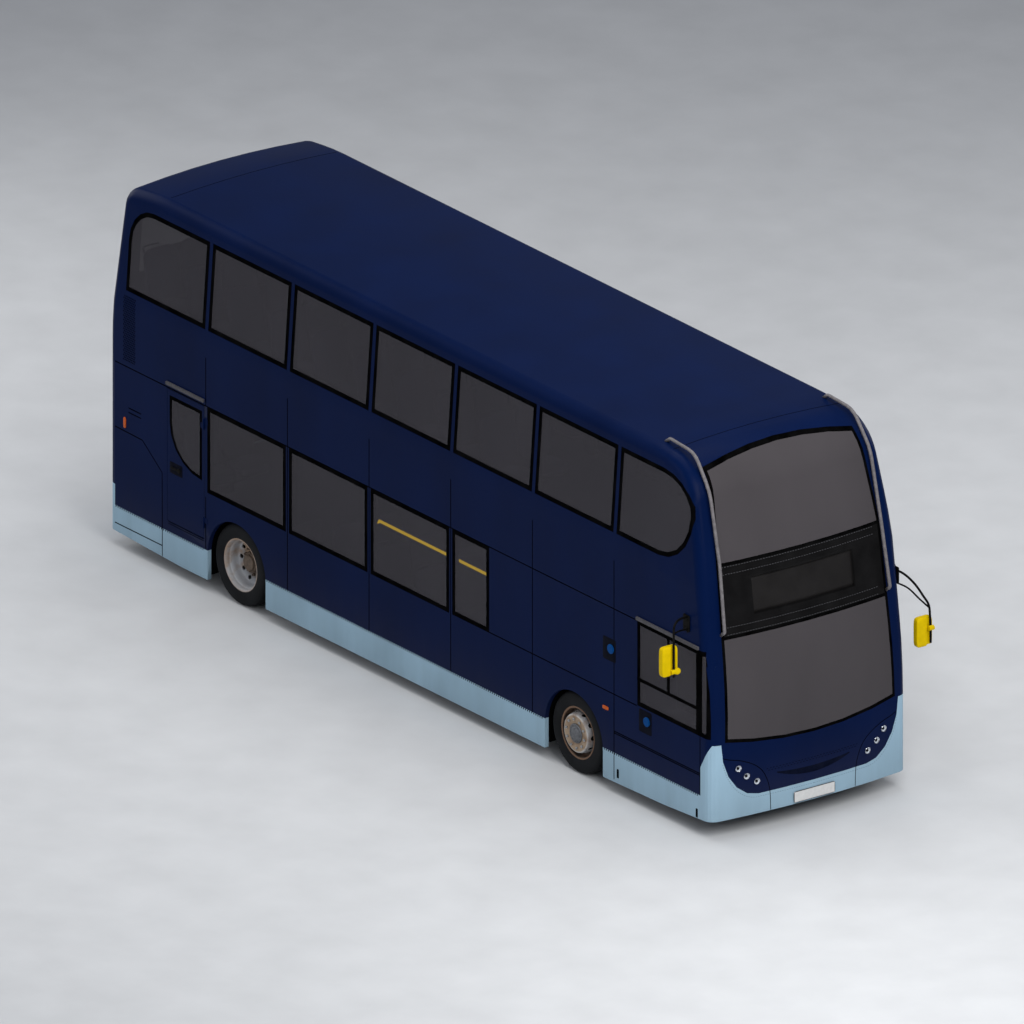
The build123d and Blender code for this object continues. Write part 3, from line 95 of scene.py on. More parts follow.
class Signal:
    """A socket of one material, so that shader maths reads as sums and products."""

    def __init__(self, tree, socket):
        self.tree, self.socket = tree, socket

    def node(self, kind, settings=None, inputs=None, output=0):
        """Any node: its settings are set first, then its sockets get values or links."""
        made = self.tree.nodes.new(kind)
        for key, value in (settings or {}).items():
            if key == "stops":
                ramp = made.color_ramp.elements
                while len(ramp) < len(value):
                    ramp.new(0.5)
                for element, (position, colour) in zip(ramp, value):
                    element.position, element.color = position, (*colour, 1)
            else:
                setattr(made, key, value)
        for key, value in (inputs or {}).items():
            if isinstance(value, Signal):
                self.tree.links.new(value.socket, made.inputs[key])
            elif isinstance(value, tuple) and len(made.inputs[key].default_value) == 4:
                made.inputs[key].default_value = (*value, 1)
            else:
                made.inputs[key].default_value = value
        return Signal(self.tree, made.outputs[output])

    def math(self, operation, *values, clamp=False):
        """One operation on numbers and sockets."""
        settings = {"operation": operation, "use_clamp": clamp}
        return self.node("ShaderNodeMath", settings, dict(enumerate(values)))

    def __add__(self, other):
        return self.math("ADD", self, other)

    def __sub__(self, other):
        return self.math("SUBTRACT", self, other)

    def __rsub__(self, other):
        return self.math("SUBTRACT", other, self)

    def __mul__(self, other):
        return self.math("MULTIPLY", self, other)

    def __truediv__(self, other):
        return self.math("DIVIDE", self, other)

    def __pow__(self, other):
        return self.math("POWER", self, other)

    __radd__ = __add__
    __rmul__ = __mul__

    def clamp(self):
        """This value held between 0 and 1."""
        return self.math("ADD", self, 0, clamp=True)

    def axis(self, name):
        """X, Y or Z of a place."""
        return self.node("ShaderNodeSeparateXYZ", {}, {0: self}, "XYZ".index(name))

    def noise(self, scale, detail=3.0, stretch=(1, 1, 1)):
        """Cloudy pattern from 0 to 1, on this place stretched along its axes."""
        place = self.node("ShaderNodeMapping", {}, {"Vector": self, "Scale": stretch})
        return self.node("ShaderNodeTexNoise", {}, {"Vector": place, "Scale": scale, "Detail": detail})

    def ramp(self, *stops):
        """Colour at this value, between stops given as (position, colour)."""
        return self.node("ShaderNodeValToRGB", {"stops": stops}, {0: self})

    def mix(self, low, high):
        """Colour between two, by this factor."""
        return self.node("ShaderNodeMix", {"data_type": "RGBA"}, {0: self, 6: low, 7: high}, 2)

    def bump(self, height, strength):
        """Surface normal from a height in metres."""
        return self.node("ShaderNodeBump", {}, {"Height": self, "Distance": height, "Strength": strength})


def times(colour, factor, lift=0.0):
    """A colour made lighter or darker, and lifted by an even grey."""
    return tuple(min(1, part * factor + lift) for part in colour)


def material(name, recipe, **plain):
    """A finish: recipe turns the place on the object into sockets, and plain gives fixed ones."""
    made = bpy.data.materials.new(name)
    made.use_nodes = True
    tree = made.node_tree
    shader = tree.nodes["Principled BSDF"]
    for key, value in plain.items():
        shader.inputs[key.replace("_", " ")].default_value = value
    place = Signal(tree, tree.nodes.new("ShaderNodeTexCoord").outputs["Object"])
    for key, signal in recipe(place).items():
        tree.links.new(signal.socket, shader.inputs[key])
    return made


def plain_finish(name, colour, roughness, grain=0.5, scale=9.0, specular=0.5, metal=0.0):
    """One colour with cloudy wear: lighter and duller in patches, with fine grain."""

    def recipe(place):
        cloud = place.noise(scale, 5.0)
        dark, light = times(colour, 1 - 0.35 * grain), times(colour, 1 + 0.3 * grain, 0.006 * grain)
        return {
            "Base Color": cloud.ramp((0.3, dark), (0.7, light)),
            "Roughness": (cloud - 0.5) * 0.22 * grain + roughness,
            "Normal": place.noise(scale * 24, 2.0).bump(0.0004, 0.25 * grain),
        }

    return material(name, recipe, Metallic=metal, Specular_IOR_Level=specular)


corners = [(-FLOOR_HALF, -FLOOR_HALF, 0), (FLOOR_HALF, -FLOOR_HALF, 0), (FLOOR_HALF, FLOOR_HALF, 0)]
floor_mesh = bpy.data.meshes.new("floor")
floor_mesh.from_pydata([*corners, (-FLOOR_HALF, FLOOR_HALF, 0)], [], [(0, 1, 2, 3)])
floor = bpy.data.objects.new("floor", floor_mesh)
floor_mesh.materials.append(plain_finish("floor_grey", (0.62, 0.63, 0.64), 0.85, 0.12, 1.5))
bpy.context.scene.collection.objects.link(floor)

# ---------------------------------------------------------------- body skins
# Aluminium side panels with moulded roof, domes and ends, all in navy gloss paint.
# The skirts and bumpers are bolted-on mouldings in pale blue, with road dirt low down.

NAVY = (0.0011, 0.0068, 0.040)
PALE_BLUE = (0.31, 0.46, 0.57)
ROAD_DIRT = (0.075, 0.066, 0.055)
DIRT_TOP = 1.1  # height in metres where the road dirt fades out
navy_nodes = ("roof", "front_dome", "rear_dome", "front_panel", "rear_panel")
navy_nodes += ("side_wall_left", "side_wall_right", "engine_lid", "emergency_door")


def painted(name, colour, coat):
    """Gloss paint: faint mottling, dust in the paint, and a veil of dirt that thickens low down."""

    def recipe(place):
        cloud = place.noise(1.4, 4.0, (1, 1, 0.5))
        streak = place.noise(7.0, 3.0, (1, 1, 0.06))
        dirt = ((1.0 - place.axis("Z") / DIRT_TOP).clamp() ** 2) * (0.25 + 0.55 * streak) * 0.5
        shade = cloud.ramp((0.25, times(colour, 0.86)), (0.75, times(colour, 1.14)))
        return {
            "Base Color": dirt.mix(shade, ROAD_DIRT),
            "Roughness": (cloud - 0.5) * 0.1 + dirt * 0.45 + 0.34,
            "Normal": place.noise(190.0, 1.0).bump(0.0003, 0.06),
        }

    return material(name, recipe, Coat_Weight=coat, Coat_Roughness=0.3, Specular_IOR_Level=0.03)


def link_piece(name, mesh, finish, body, stands_for=None):
    """A mesh becomes a piece of the scene: it rides on a body and may stand for a CAD node."""
    mesh.materials.append(finish)
    made = bpy.data.objects.new(name, mesh)
    bpy.context.scene.collection.objects.link(made)
    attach(made, body)
    if stands_for:
        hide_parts(stands_for)
    return made


def smooth_copy(source, finish, angle=28, weighted=True):
    """Stands for a CAD node: its own faces, merged and shaded smooth up to an angle in degrees."""
    mesh = nodes[source].data.copy()
    mesh.name = source + "_skin"
    shape = bmesh.new()
    shape.from_mesh(mesh)
    bmesh.ops.remove_doubles(shape, verts=shape.verts, dist=2e-5)
    shape.to_mesh(mesh)
    shape.free()
    mesh.materials.clear()
    mesh.polygons.foreach_set("use_smooth", np.ones(len(mesh.polygons), dtype=bool))
    mesh.set_sharp_from_angle(angle=np.radians(angle))
    made = link_piece(source + "_skin", mesh, finish, body_of[source], source)
    if weighted:
        weigh = made.modifiers.new("weigh", "WEIGHTED_NORMAL")
        weigh.weight, weigh.keep_sharp = 80, True
    return made


body_of = {node: body for body, names in frame["record"]["behaviour"]["bodies"].items() for node in names}
navy_paint = painted("navy_paint", NAVY, 0.0)
skirt_paint = painted("skirt_paint", PALE_BLUE, 0.02)
for name in navy_nodes:
    smooth_copy(name, navy_paint)
for name in ("front_bumper", "rear_bumper", "skirts"):
    smooth_copy(name, skirt_paint)

# ---------------------------------------------------------------- glazing
# Toughened glass, heavily tinted, bonded flush in black rubber on both decks.
# The two windscreens are one bowed sheet each; the corner post beside the cab window is painted.

SIDE_GREY = (0.056, 0.053, 0.062)
FRONT_GREY = (0.064, 0.058, 0.062)
POST_X, POST_TOP, POST_Y = 5.0, 2.12, 1.2495  # the post's frame faces lie ahead, below and inside of these


def tinted(name, colour, alpha):
    """Glass that is nearly closed by its tint: an even sheet with faint smears."""

    def recipe(place):
        smear = place.noise(0.9, 4.0, (1, 1, 0.4))
        shade = smear.ramp((0.3, times(colour, 0.92)), (0.7, times(colour, 1.08)))
        return {"Base Color": shade, "Roughness": (smear - 0.5) * 0.12 + 0.30}

    return material(name, recipe, Alpha=alpha, Specular_IOR_Level=0.06)


side_glass = tinted("side_glass", SIDE_GREY, 0.62)
frame_rubber = plain_finish("frame_rubber", (0.0007, 0.0007, 0.0008), 0.6, 0.5, 6.0, 0.0)
for name in ("window_panes", "emergency_door_pane", "door_glass_front", "door_glass_rear"):
    smooth_copy(name, side_glass)
smooth_copy("windscreens", tinted("front_glass", FRONT_GREY, 0.93))
side_frames = smooth_copy("window_frames", frame_rubber).data
for name in ("rear_window_frame", "windscreen_frame", "emergency_door_frame"):
    smooth_copy(name, frame_rubber)
side_frames.materials.append(navy_paint)
middles = np.array([polygon.center for polygon in side_frames.polygons])
corner_post = (middles[:, 0] > POST_X) & (middles[:, 2] < POST_TOP) & (np.abs(middles[:, 1]) < POST_Y)
side_frames.polygons.foreach_set("material_index", corner_post.astype(int))

# ---------------------------------------------------------------- shut lines and sealant beads
# Panels meet at narrow dark joints filled with black sealant, and the skirts hang below them.
# Each is a low rounded bead that follows the skin.

WAIST_Z = 2.76  # the sides lean inwards above this
SIDE_LEAN = 0.07
JOINT_WIDTH, JOINT_HEIGHT = 0.013, 0.0014
BOTH, RIGHT = (-1, 1), (-1,)  # sides of the bus, as signs of y
half_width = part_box("side_wall_left")[1].y
front_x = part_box("front_panel")[1].x
rear_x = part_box("rear_bumper")[0].x


def new_piece(name, shapes, finish, body="bus_body", stands_for=None):
    """Joins (vertices, faces) shapes into one piece; doubles are merged and faces turned outwards."""
    vertices = [np.reshape(points, (-1, 3)) for points, _ in shapes]
    first = np.cumsum([0] + [len(points) for points in vertices[:-1]])
    faces = [np.asarray(face) + start for (_, face), start in zip(shapes, first)]
    mesh = bpy.data.meshes.new(name)
    mesh.from_pydata(np.concatenate(vertices).tolist(), [], np.concatenate(faces).tolist())
    shape = bmesh.new()
    shape.from_mesh(mesh)
    bmesh.ops.remove_doubles(shape, verts=shape.verts, dist=2e-6)
    bmesh.ops.recalc_face_normals(shape, faces=shape.faces)
    shape.to_mesh(mesh)
    shape.free()
    mesh.polygons.foreach_set("use_smooth", np.ones(len(mesh.polygons), dtype=bool))
    mesh.set_sharp_from_angle(angle=np.radians(35))
    return link_piece(name, mesh, finish, body, stands_for)


def grid_faces(rows, columns, around=False):
    """Quads of a grid of points, row by row; a grid may close on itself around its columns."""
    last = columns if around else columns - 1
    row, column = np.meshgrid(np.arange(rows - 1), np.arange(last), indexing="ij")
    beside = (column + 1) % columns
    here, below = row * columns, (row + 1) * columns
    return np.stack((here + column, here + beside, below + beside, below + column), -1).reshape(-1, 4)


def closed_grid(points):
    """A grid of points as a shape that closes on itself around its columns."""
    return points.reshape(-1, 3), grid_faces(points.shape[0], points.shape[1], around=True)


def side_y(z):
    """Distance of the skin from the centre line at a height: upright, then leaning in."""
    return half_width - SIDE_LEAN * np.maximum(0, z - WAIST_Z)


def bead(points, outward, width, height, steps=5):
    """Half-round bead along a line of points on a skin: an arch of steps points swept along it."""
    points = np.asarray(points, float)
    outward = np.broadcast_to(np.asarray(outward, float), points.shape)
    across = np.cross(outward, np.gradient(points, axis=0))
    across /= np.linalg.norm(across, axis=1, keepdims=True)
    turn = np.linspace(0, np.pi, steps)
    lift = height * np.sin(turn)[None, :, None] * outward[:, None, :]
    rows = points[:, None, :] + 0.5 * width * np.cos(turn)[None, :, None] * across[:, None, :] + lift
    under = points[:, None, :] - 0.001 * outward[:, None, :]
    return closed_grid(np.concatenate([rows, under], axis=1))


def bead_piece(name, lines, width, height, finish, body="bus_body"):
    """Several beads as one piece, each a list of points with the skin's outward direction."""
    return new_piece(name, [bead(*line, width, height) for line in lines], finish, body)


def side_line(ends, sign, count=12):
    """Points on one side between corners given as (x, z), and that side's outward direction."""
    steps = np.linspace(0, 1, count)[:, None]
    ends = np.asarray(ends, float)
    x, z = np.concatenate([start + (end - start) * steps for start, end in zip(ends, ends[1:])]).T
    keep = np.r_[True, np.hypot(np.diff(x), np.diff(z)) > 1e-6]
    x, z = x[keep], z[keep]
    return np.stack([x, sign * side_y(z), z], 1), (0, sign, 0)


# black sealant in the joints; the same finish is painted shade in the slots, slits and grille holes
joint_black_and_hole_shade = plain_finish("joint_black_and_hole_shade", (0.0004, 0.0005, 0.0009), 0.8, 0.4, 30.0, 0.0)
deck_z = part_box("front_panel")[1].z
skirt_bottom, skirt_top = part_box("skirts")[0].z + 0.012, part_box("skirts")[1].z
post_x = -3.5835 + 1.421 * np.arange(6)  # pillars between the windows
last_post = post_x[-1]
rear_seam_x, front_seam_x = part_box("side_wall_right")[0].x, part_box("side_wall_right")[1].x
engine_joint = [(rear_x + 0.61, 1.341), (rear_x + 0.955, 1.087), (rear_x + 0.958, skirt_top)]
engine_x = engine_joint[-1][0]
# corners as (x, z), the sides that have the joint, and its points between two corners
joints = [([(x, deck_z), (x, 2.62)], BOTH, 12) for x in post_x]
joints += [([(x, skirt_top), (x, deck_z)], BOTH, 4) for x in post_x[1:-1]]
joints += [([(last_post, z), (front_seam_x, z)], RIGHT, 4) for z in (0.688, 0.708)]
joints += [
    ([(rear_seam_x, deck_z), (front_seam_x, deck_z)], BOTH, 12),
    ([(post_x[0], skirt_top), (post_x[0], 1.06)], BOTH, 4),
    ([(1.35, 1.12), (3.92, 1.12)], RIGHT, 4),
    ([(front_seam_x, skirt_top), (front_seam_x, deck_z)], RIGHT, 4),
    ([(last_post, skirt_top), (last_post, deck_z)], RIGHT, 4),
    (engine_joint, BOTH, 6),
    ([(rear_seam_x, 1.348), engine_joint[0]], BOTH, 4),
    ([(engine_x, skirt_bottom), (engine_x, skirt_top)], BOTH, 4),
    ([(rear_seam_x, 0.27), (engine_x, 0.27)], BOTH, 4),
    ([(last_post, skirt_bottom + 0.02), (last_post, skirt_top)], BOTH, 4),
]
lines = [side_line(ends, sign, count) for ends, signs, count in joints for sign in signs]
bead_piece("panel_joints", lines, JOINT_WIDTH, JOINT_HEIGHT, joint_black_and_hole_shade)
door_x0, door_x1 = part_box("emergency_door")[0].x + 0.02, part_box("emergency_door")[1].x - 0.02
lines = [side_line([(door_x0, z), (door_x1, z)], -1, 4) for z in (0.555, 0.575)]
bead_piece("door_fold_lines", lines, 0.008, 0.0012, joint_black_and_hole_shade, body="emergency_exit")

# ---------------------------------------------------------------- tyres
# Radial bus tyres: smooth sidewalls, a raised rib at the rim and four grooves round the tread.
# One section is carried round the axle; shoulder sipes are cut into it at equal steps.

TYRE_STEPS = 180
TYRE_WIDTH = 0.28
GROOVES = (-0.078, -0.027, 0.027, 0.078)  # places across the tread
GROOVE_DEPTH = 0.009
SIPE_DEPTH = 0.005


def around_axle(radius, out, angle, centre):
    """Points at a radius and a distance out along the axle, at an angle from straight down."""
    x = centre[0] + radius * np.sin(angle)
    z = centre[2] - radius * np.cos(angle)
    return np.stack(np.broadcast_arrays(x, centre[1] + out, z), -1)


def eased(value, softness):
    """A sine or cosine squared off: its sign is kept and its size raised to a power below one."""
    return np.sign(value) * np.abs(value) ** softness


def tyre(centre, radius, width):
    """Superellipse crown over a cosine sidewall; grooves and sipes are dips of its radius."""
    widest, bead_radius, bead_half = radius * 0.82, radius * 0.61, width * 0.4
    turn = np.linspace(0, np.pi, 61)
    crown_out = 0.5 * width * eased(np.cos(turn), 0.42)
    crown_radius = widest + (radius - widest) * np.sin(turn) ** 0.62
    bend = np.linspace(np.pi / 2, 0, 12)[:-1]
    side_out = bead_half + (0.5 * width - bead_half) * np.cos(bend)
    side_radius = widest - (widest - bead_radius) * np.sin(bend)
    out = np.r_[side_out, crown_out, -side_out[::-1]]
    section = np.r_[side_radius, crown_radius, side_radius[::-1]]
    section = section + 0.003 * np.exp(-((section - 0.685 * radius) / 0.006) ** 2)
    groove = sum(np.exp(-((out - place) / 0.006) ** 4) for place in GROOVES)
    tread = np.clip((section - 0.975 * radius) / (0.02 * radius), 0, 1)
    section = section - GROOVE_DEPTH * groove * tread
    angle = np.linspace(0, 2 * np.pi, TYRE_STEPS, endpoint=False)
    sipe = (np.arange(TYRE_STEPS) % 4 == 0)[:, None] * (np.abs(out) > 0.09) * tread
    grid = around_axle(section[None, :] - SIPE_DEPTH * sipe, out[None, :], angle[:, None], centre)
    return closed_grid(grid.transpose(1, 0, 2))


def rubber(place):
    """Sidewall rubber: blue-black, lighter with dust in patches, and finely grained."""
    dust = place.noise(5.0, 4.0)
    clean = (0.0042, 0.0048, 0.0058)
    return {
        "Base Color": dust.ramp((0.35, clean), (0.75, times(clean, 1.9, 0.002))),
        "Roughness": dust * 0.2 + 0.62,
        "Normal": place.noise(160.0, 2.0).bump(0.0006, 0.35),
    }


tyre_rubber = material("tyre_rubber_black", rubber, Specular_IOR_Level=0.13)
for name in ("front_tyre_left", "front_tyre_right", "rear_tyres_left", "rear_tyres_right"):
    low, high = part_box(name)
    radius = (high.z - low.z) / 2
    ends = sorted((low.y, high.y), key=abs)  # inner and outer
    half = np.sign(ends[1]) * TYRE_WIDTH / 2
    wheel_y = [ends[1] - half] + ([ends[0] + half] if "rear" in name else [])
    shapes = [tyre(((low.x + high.x) / 2, y, radius), radius, TYRE_WIDTH) for y in wheel_y]
    new_piece(name + "_rubber", shapes, tyre_rubber, body_of[name], name)

# ---------------------------------------------------------------- front rims
# Steel disc wheels with the disc dished outwards: a drum with ten hand-holes round its side, a
# nutted face, and a hub cap held by small bolts. Brake dust has browned the face.

HOLES = 10
HOLE_STEPS = 8  # points along one side of a hand-hole's patch
RIM_COLUMNS = HOLES * HOLE_STEPS
HOLE_LIP = 0.008
FRONT_HOLE, REAR_HOLE = 0.027, 0.024  # radius of a hand-hole
RIM_EDGE = 0.32  # radius where the paint's colours end
BEIGE, PALE, RUST = (0.34, 0.25, 0.17), (0.36, 0.37, 0.38), (0.17, 0.095, 0.055)
HUB_SHADE, SHADOW = (0.12, 0.12, 0.13), (0.014, 0.014, 0.015)
# radius and colour; from 0.235 to 0.266 the bands are painted shadow in the deep well inside the flange
FRONT_BANDS = [(0.0, HUB_SHADE), (0.1, HUB_SHADE), (0.106, BEIGE), (0.19, BEIGE), (0.2, (0.52, 0.5, 0.47))]
FRONT_BANDS += [(0.212, PALE), (0.229, PALE), (0.235, SHADOW), (0.266, (0.016, 0.013, 0.012)), (0.274, RUST)]
FRONT_BANDS += [(0.3, RUST)]
# sections as (radius, distance out of the wheel's middle)
FLANGE = [(0.278, 0.104), (0.291, 0.112), (0.292, 0.122), (0.287, 0.128), (0.276, 0.127), (0.266, 0.12)]
FLANGE += [(0.261, 0.09), (0.258, 0.062), (0.25, 0.05), (0.238, 0.046), (0.23, 0.056)]
FACE = [(0.214, 0.136), (0.211, 0.146), (0.205, 0.153), (0.195, 0.156), (0.178, 0.156), (0.112, 0.151)]
FACE += [(0.106, 0.147)]
BACK = [(0.262, 0.1), (0.262, -0.1), (0.276, -0.112), (0.29, -0.116), (0.29, -0.106), (0.272, -0.1)]
BACK += [(0.262, -0.09)]
INNER = [(0.2, 0.0), (0.06, 0.0), (0.06, 0.05), (0.1, 0.14)]
HUB_CAP = [(0.108, 0.146), (0.106, 0.158), (0.098, 0.163), (0.094, 0.161), (0.07, 0.163), (0.064, 0.169)]
HUB_CAP += [(0.055, 0.172), (0.0005, 0.173)]
FRONT_DRUM = [(0.1, 0.02), (0.2, 0.02), (0.203, 0.04), (0.19, 0.13), (0.1, 0.13)]


def revolved(profile, columns, centre, sign):
    """Shape from (radius, out) points carried round the axle; out is away from the bus."""
    radius, out = np.asarray(profile, float).T[:, :, None]
    angle = np.linspace(0, 2 * np.pi, columns, endpoint=False)
    return closed_grid(around_axle(radius, sign * out, angle, centre))


def holed_band(start, end, hole, centre, sign):
    """Band between two (radius, out) points with round holes: each patch runs from a circle to a square."""
    side = np.linspace(-1, 1, HOLE_STEPS, endpoint=False)
    one = np.ones(HOLE_STEPS)
    square_u, square_v = np.r_[side, one, -side, -one], np.r_[-one, side, one, -side]
    start, end = np.asarray(start, float), np.asarray(end, float)
    half_run = np.linalg.norm(end - start) / 2
    half_arc = (start[0] + end[0]) / 2 * np.pi / HOLES
    bearing = np.arctan2(square_v * half_run, square_u * half_arc)
    circle_u, circle_v = hole * np.cos(bearing) / half_arc, hole * np.sin(bearing) / half_run
    share = np.array([0, 0, 0.4, 1.0])[:, None]
    u = circle_u + (square_u - circle_u) * share
    v = circle_v + (square_v - circle_v) * share
    run = (end - start) / (2 * half_run)
    inward = HOLE_LIP * np.array([1, 0, 0, 0])[:, None]
    radius = start[0] + (end[0] - start[0]) * (v + 1) / 2 - inward * abs(run[1])
    out = start[1] + (end[1] - start[1]) * (v + 1) / 2 - inward * abs(run[0])
    middle = (np.arange(HOLES)[:, None, None] * 2 + 1) * np.pi / HOLES
    radius, out, angle = np.broadcast_arrays(radius, out, middle + u * np.pi / HOLES)
    patch = grid_faces(*u.shape, around=True)
    faces = np.concatenate([patch + u.size * number for number in range(HOLES)])
    return around_axle(radius, sign * out, angle, centre).reshape(-1, 3), faces


def repeated(shape, places):
    """One small shape set down at each of several places."""
    vertices, faces = shape
    copies = vertices[None] + np.asarray(places)[:, None]
    offsets = np.arange(len(places))[:, None, None] * len(vertices)
    return copies.reshape(-1, 3), (faces[None] + offsets).reshape(-1, 4)


def nuts(count, circle, out, size, height, centre, sign, phase=0.0):
    """Ring of six-sided nuts with domed tops."""
    profile = [(size, 0), (size, height * 0.6), (size * 0.55, height * 0.7), (size * 0.5, height)]
    profile.append((0.0002, height))
    angle = (np.arange(count) + phase) * 2 * np.pi / count
    return repeated(revolved(profile, 6, (0, 0, 0), sign), around_axle(circle, sign * out, angle, centre))


def rim_finish(name, axle_x, axle_z, bands, rust, rust_side):
    """Wheel paint by distance from the axle, browned by rust and brake dust in clouds."""

    def recipe(place):
        across, up = place.axis("X") - axle_x, place.axis("Z") - axle_z
        radius = (across * across + up * up) ** 0.5
        paint = (radius / RIM_EDGE).ramp(*[(at / RIM_EDGE, shade) for at, shade in bands])
        cloud = place.noise(11.0, 5.0)
        browned = ((cloud - 0.42) * 3.2 + up * rust_side).clamp() * 0.8
        return {
            "Base Color": browned.mix(paint, rust),
            "Roughness": cloud * 0.25 + 0.42,
            "Normal": place.noise(90.0, 3.0).bump(0.0006, 0.4),
        }

    return material(name, recipe, Metallic=0.15, Specular_IOR_Level=0.35)


drum_black = plain_finish("drum_black", (0.004, 0.0038, 0.0036), 0.7, 0.6, 14.0, 0.05)
chrome = plain_finish("nut_chrome", (0.42, 0.44, 0.46), 0.28, 0.6, 40.0, metal=0.9)
hub_grey = plain_finish("hub_grey", (0.13, 0.135, 0.145), 0.42, 0.9, 30.0, metal=0.6)
low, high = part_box("front_rim_left")
front_axle, axle_z = (low.x + high.x) / 2, (low.z + high.z) / 2
front_wheel_y = (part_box("front_tyre_left")[0].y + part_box("front_tyre_left")[1].y) / 2
front_rim_paint = rim_finish("front_rim_paint", front_axle, axle_z, FRONT_BANDS, RUST, 0.6)
for side, sign in (("left", 1), ("right", -1)):
    name = "front_rim_" + side
    wheel, body = ((front_axle, sign * front_wheel_y, axle_z), sign), body_of[name]
    shapes = [revolved(FLANGE, RIM_COLUMNS, *wheel), revolved(FACE, RIM_COLUMNS, *wheel)]
    shapes += [holed_band(FLANGE[-1], FACE[0], FRONT_HOLE, *wheel), revolved(BACK, 80, *wheel)]
    shapes += [revolved(INNER, 40, *wheel)]
    new_piece(name + "_steel", shapes, front_rim_paint, body, name)
    shapes = [revolved(HUB_CAP, 48, *wheel), nuts(12, 0.084, 0.161, 0.006, 0.008, *wheel)]
    new_piece(name + "_hub_cap", shapes, hub_grey, body)
    ring = nuts(10, 0.158, 0.153, 0.0165, 0.021, *wheel, 0.25)
    new_piece(name + "_nuts", [ring], chrome, body)
    new_piece("brake_drum_front_" + side, [revolved(FRONT_DRUM, 60, *wheel)], drum_black, body)

# ---------------------------------------------------------------- rear rims
# Twin rims bolted back to back: the outer one is a deep dish, stepped down to a disc with ten
# hand-holes, round a brown nutted hub. Its paint is chalky grey, rusty along the top.

CHALK, TAN, HUB_BROWN = (0.42, 0.43, 0.45), (0.2, 0.15, 0.11), (0.1, 0.075, 0.055)
REAR_RUST = (0.3, 0.19, 0.11)
REAR_BANDS = [(0.0, HUB_BROWN), (0.12, HUB_BROWN), (0.13, TAN), (0.165, (0.17, 0.15, 0.14))]
REAR_BANDS += [(0.195, (0.3, 0.31, 0.33)), (0.236, CHALK), (0.255, CHALK), (0.27, (0.36, 0.35, 0.35))]
REAR_BANDS += [(0.285, (0.36, 0.3, 0.27)), (0.3, (0.25, 0.2, 0.17))]
# sections as (radius, distance out of the pair's middle); RIM_LIP is measured from the rim's edge
RIM_LIP = [(0.278, -0.02), (0.291, -0.012), (0.292, -0.004), (0.287, 0), (0.277, -0.002), (0.268, -0.012)]
RIM_LIP += [(0.264, -0.035)]
DISH = [(0.262, 0.235), (0.257, 0.226), (0.252, 0.218), (0.25, 0.172), (0.247, 0.152), (0.241, 0.137)]
DISH += [(0.236, 0.13)]
DISC = [(0.172, 0.106), (0.165, 0.103), (0.128, 0.10), (0.122, 0.103)]
REAR_DRUM = [(0.255, 0.02), (0.25, 0.07), (0.12, 0.07), (0.11, 0.02)]
REAR_HUB = [(0.122, 0.10), (0.118, 0.108), (0.113, 0.15), (0.107, 0.16), (0.09, 0.165), (0.086, 0.182)]
REAR_HUB += [(0.078, 0.189), (0.0005, 0.191)]

hub_brown = plain_finish("hub_brown", (0.12, 0.085, 0.06), 0.6, 1.0, 30.0, metal=0.3)
low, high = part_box("rear_rims_left")
rear_axle, pair_y, edge = (low.x + high.x) / 2, (low.y + high.y) / 2, (high.y - low.y) / 2
rear_rim_paint = rim_finish("rear_rim_paint", rear_axle, axle_z, REAR_BANDS, REAR_RUST, 1.9)
dish = [(radius, edge + out) for radius, out in RIM_LIP] + DISH
barrel = [(0.262, 0.235), (0.262, -0.19), (0.276, -edge + 0.01), (0.292, -edge), (0.292, -edge + 0.014)]
barrel += [(0.278, -edge + 0.03)]
for side, sign in (("left", 1), ("right", -1)):
    name = "rear_rims_" + side
    wheel, body = ((rear_axle, sign * pair_y, axle_z), sign), body_of[name]
    shapes = [revolved(dish, RIM_COLUMNS, *wheel), revolved(DISC, RIM_COLUMNS, *wheel)]
    shapes += [holed_band(DISH[-1], DISC[0], REAR_HOLE, *wheel), revolved(barrel, 80, *wheel)]
    new_piece("brake_drum_rear_" + side, [revolved(REAR_DRUM, 60, *wheel)], drum_black, body)
    new_piece(name + "_steel", shapes, rear_rim_paint, body, name)
    shapes = [revolved(REAR_HUB, 48, *wheel), nuts(10, 0.146, 0.1, 0.0155, 0.036, *wheel)]
    shapes += [nuts(8, 0.099, 0.161, 0.008, 0.013, *wheel)]
    new_piece(name + "_hub", shapes, hub_brown, body)

# ---------------------------------------------------------------- lamps and reflectors
# Each front lamp is a clear polycarbonate bowl and a dark bulb, held by a bright ring in a painted
# bezel. The tail lamps are domed red lenses in black rings; markers are small ribbed orange lenses.

LAMP_SPOTS = [(0.945, 0.757), (0.845, 0.653), (0.720, 0.571)]  # y and z on the left
FRONT_BOW = 0.095  # how far the front falls back at its sides
TAIL_HALF = 0.048  # half the size of a tail lamp
# sections as (radius, height above the skin)
BEZEL = [(0.0475, -0.012), (0.048, 0.0015), (0.046, 0.0035), (0.036, 0.0038), (0.0352, -0.01)]
LAMP_RING = [(0.0355, -0.01), (0.036, 0.003), (0.0345, 0.005), (0.0315, 0.0035), (0.031, -0.012)]
BOWL = [(0.032, -0.002), (0.023, -0.012), (0.011, -0.018), (0.0002, -0.019)]
BULB = [(0.013, -0.016), (0.0145, -0.006), (0.012, 0.0), (0.006, 0.003), (0.0002, 0.004)]
POT = [(0.0455, -0.002), (0.0455, -0.03), (0.0002, -0.031)]
TAIL_RING = [(0.05, -0.02), (0.05, 0.003), (0.046, 0.006), (0.042, 0.004)]
TAIL_LENS = [(0.043, 0.0), (0.041, 0.005), (0.03, 0.0072), (0.014, 0.0078), (0.0002, 0.008)]
# middle as x and z, half length and half height
MARKERS = [(3.3775, 0.925, 0.05, 0.02), (-4.9895, 1.443, 0.02, 0.06)]
MARKER_SUNK, MARKER_PROUD = 0.004, 0.0098
LENS_RIBS = 900.0  # radians of ribbing in a metre of height


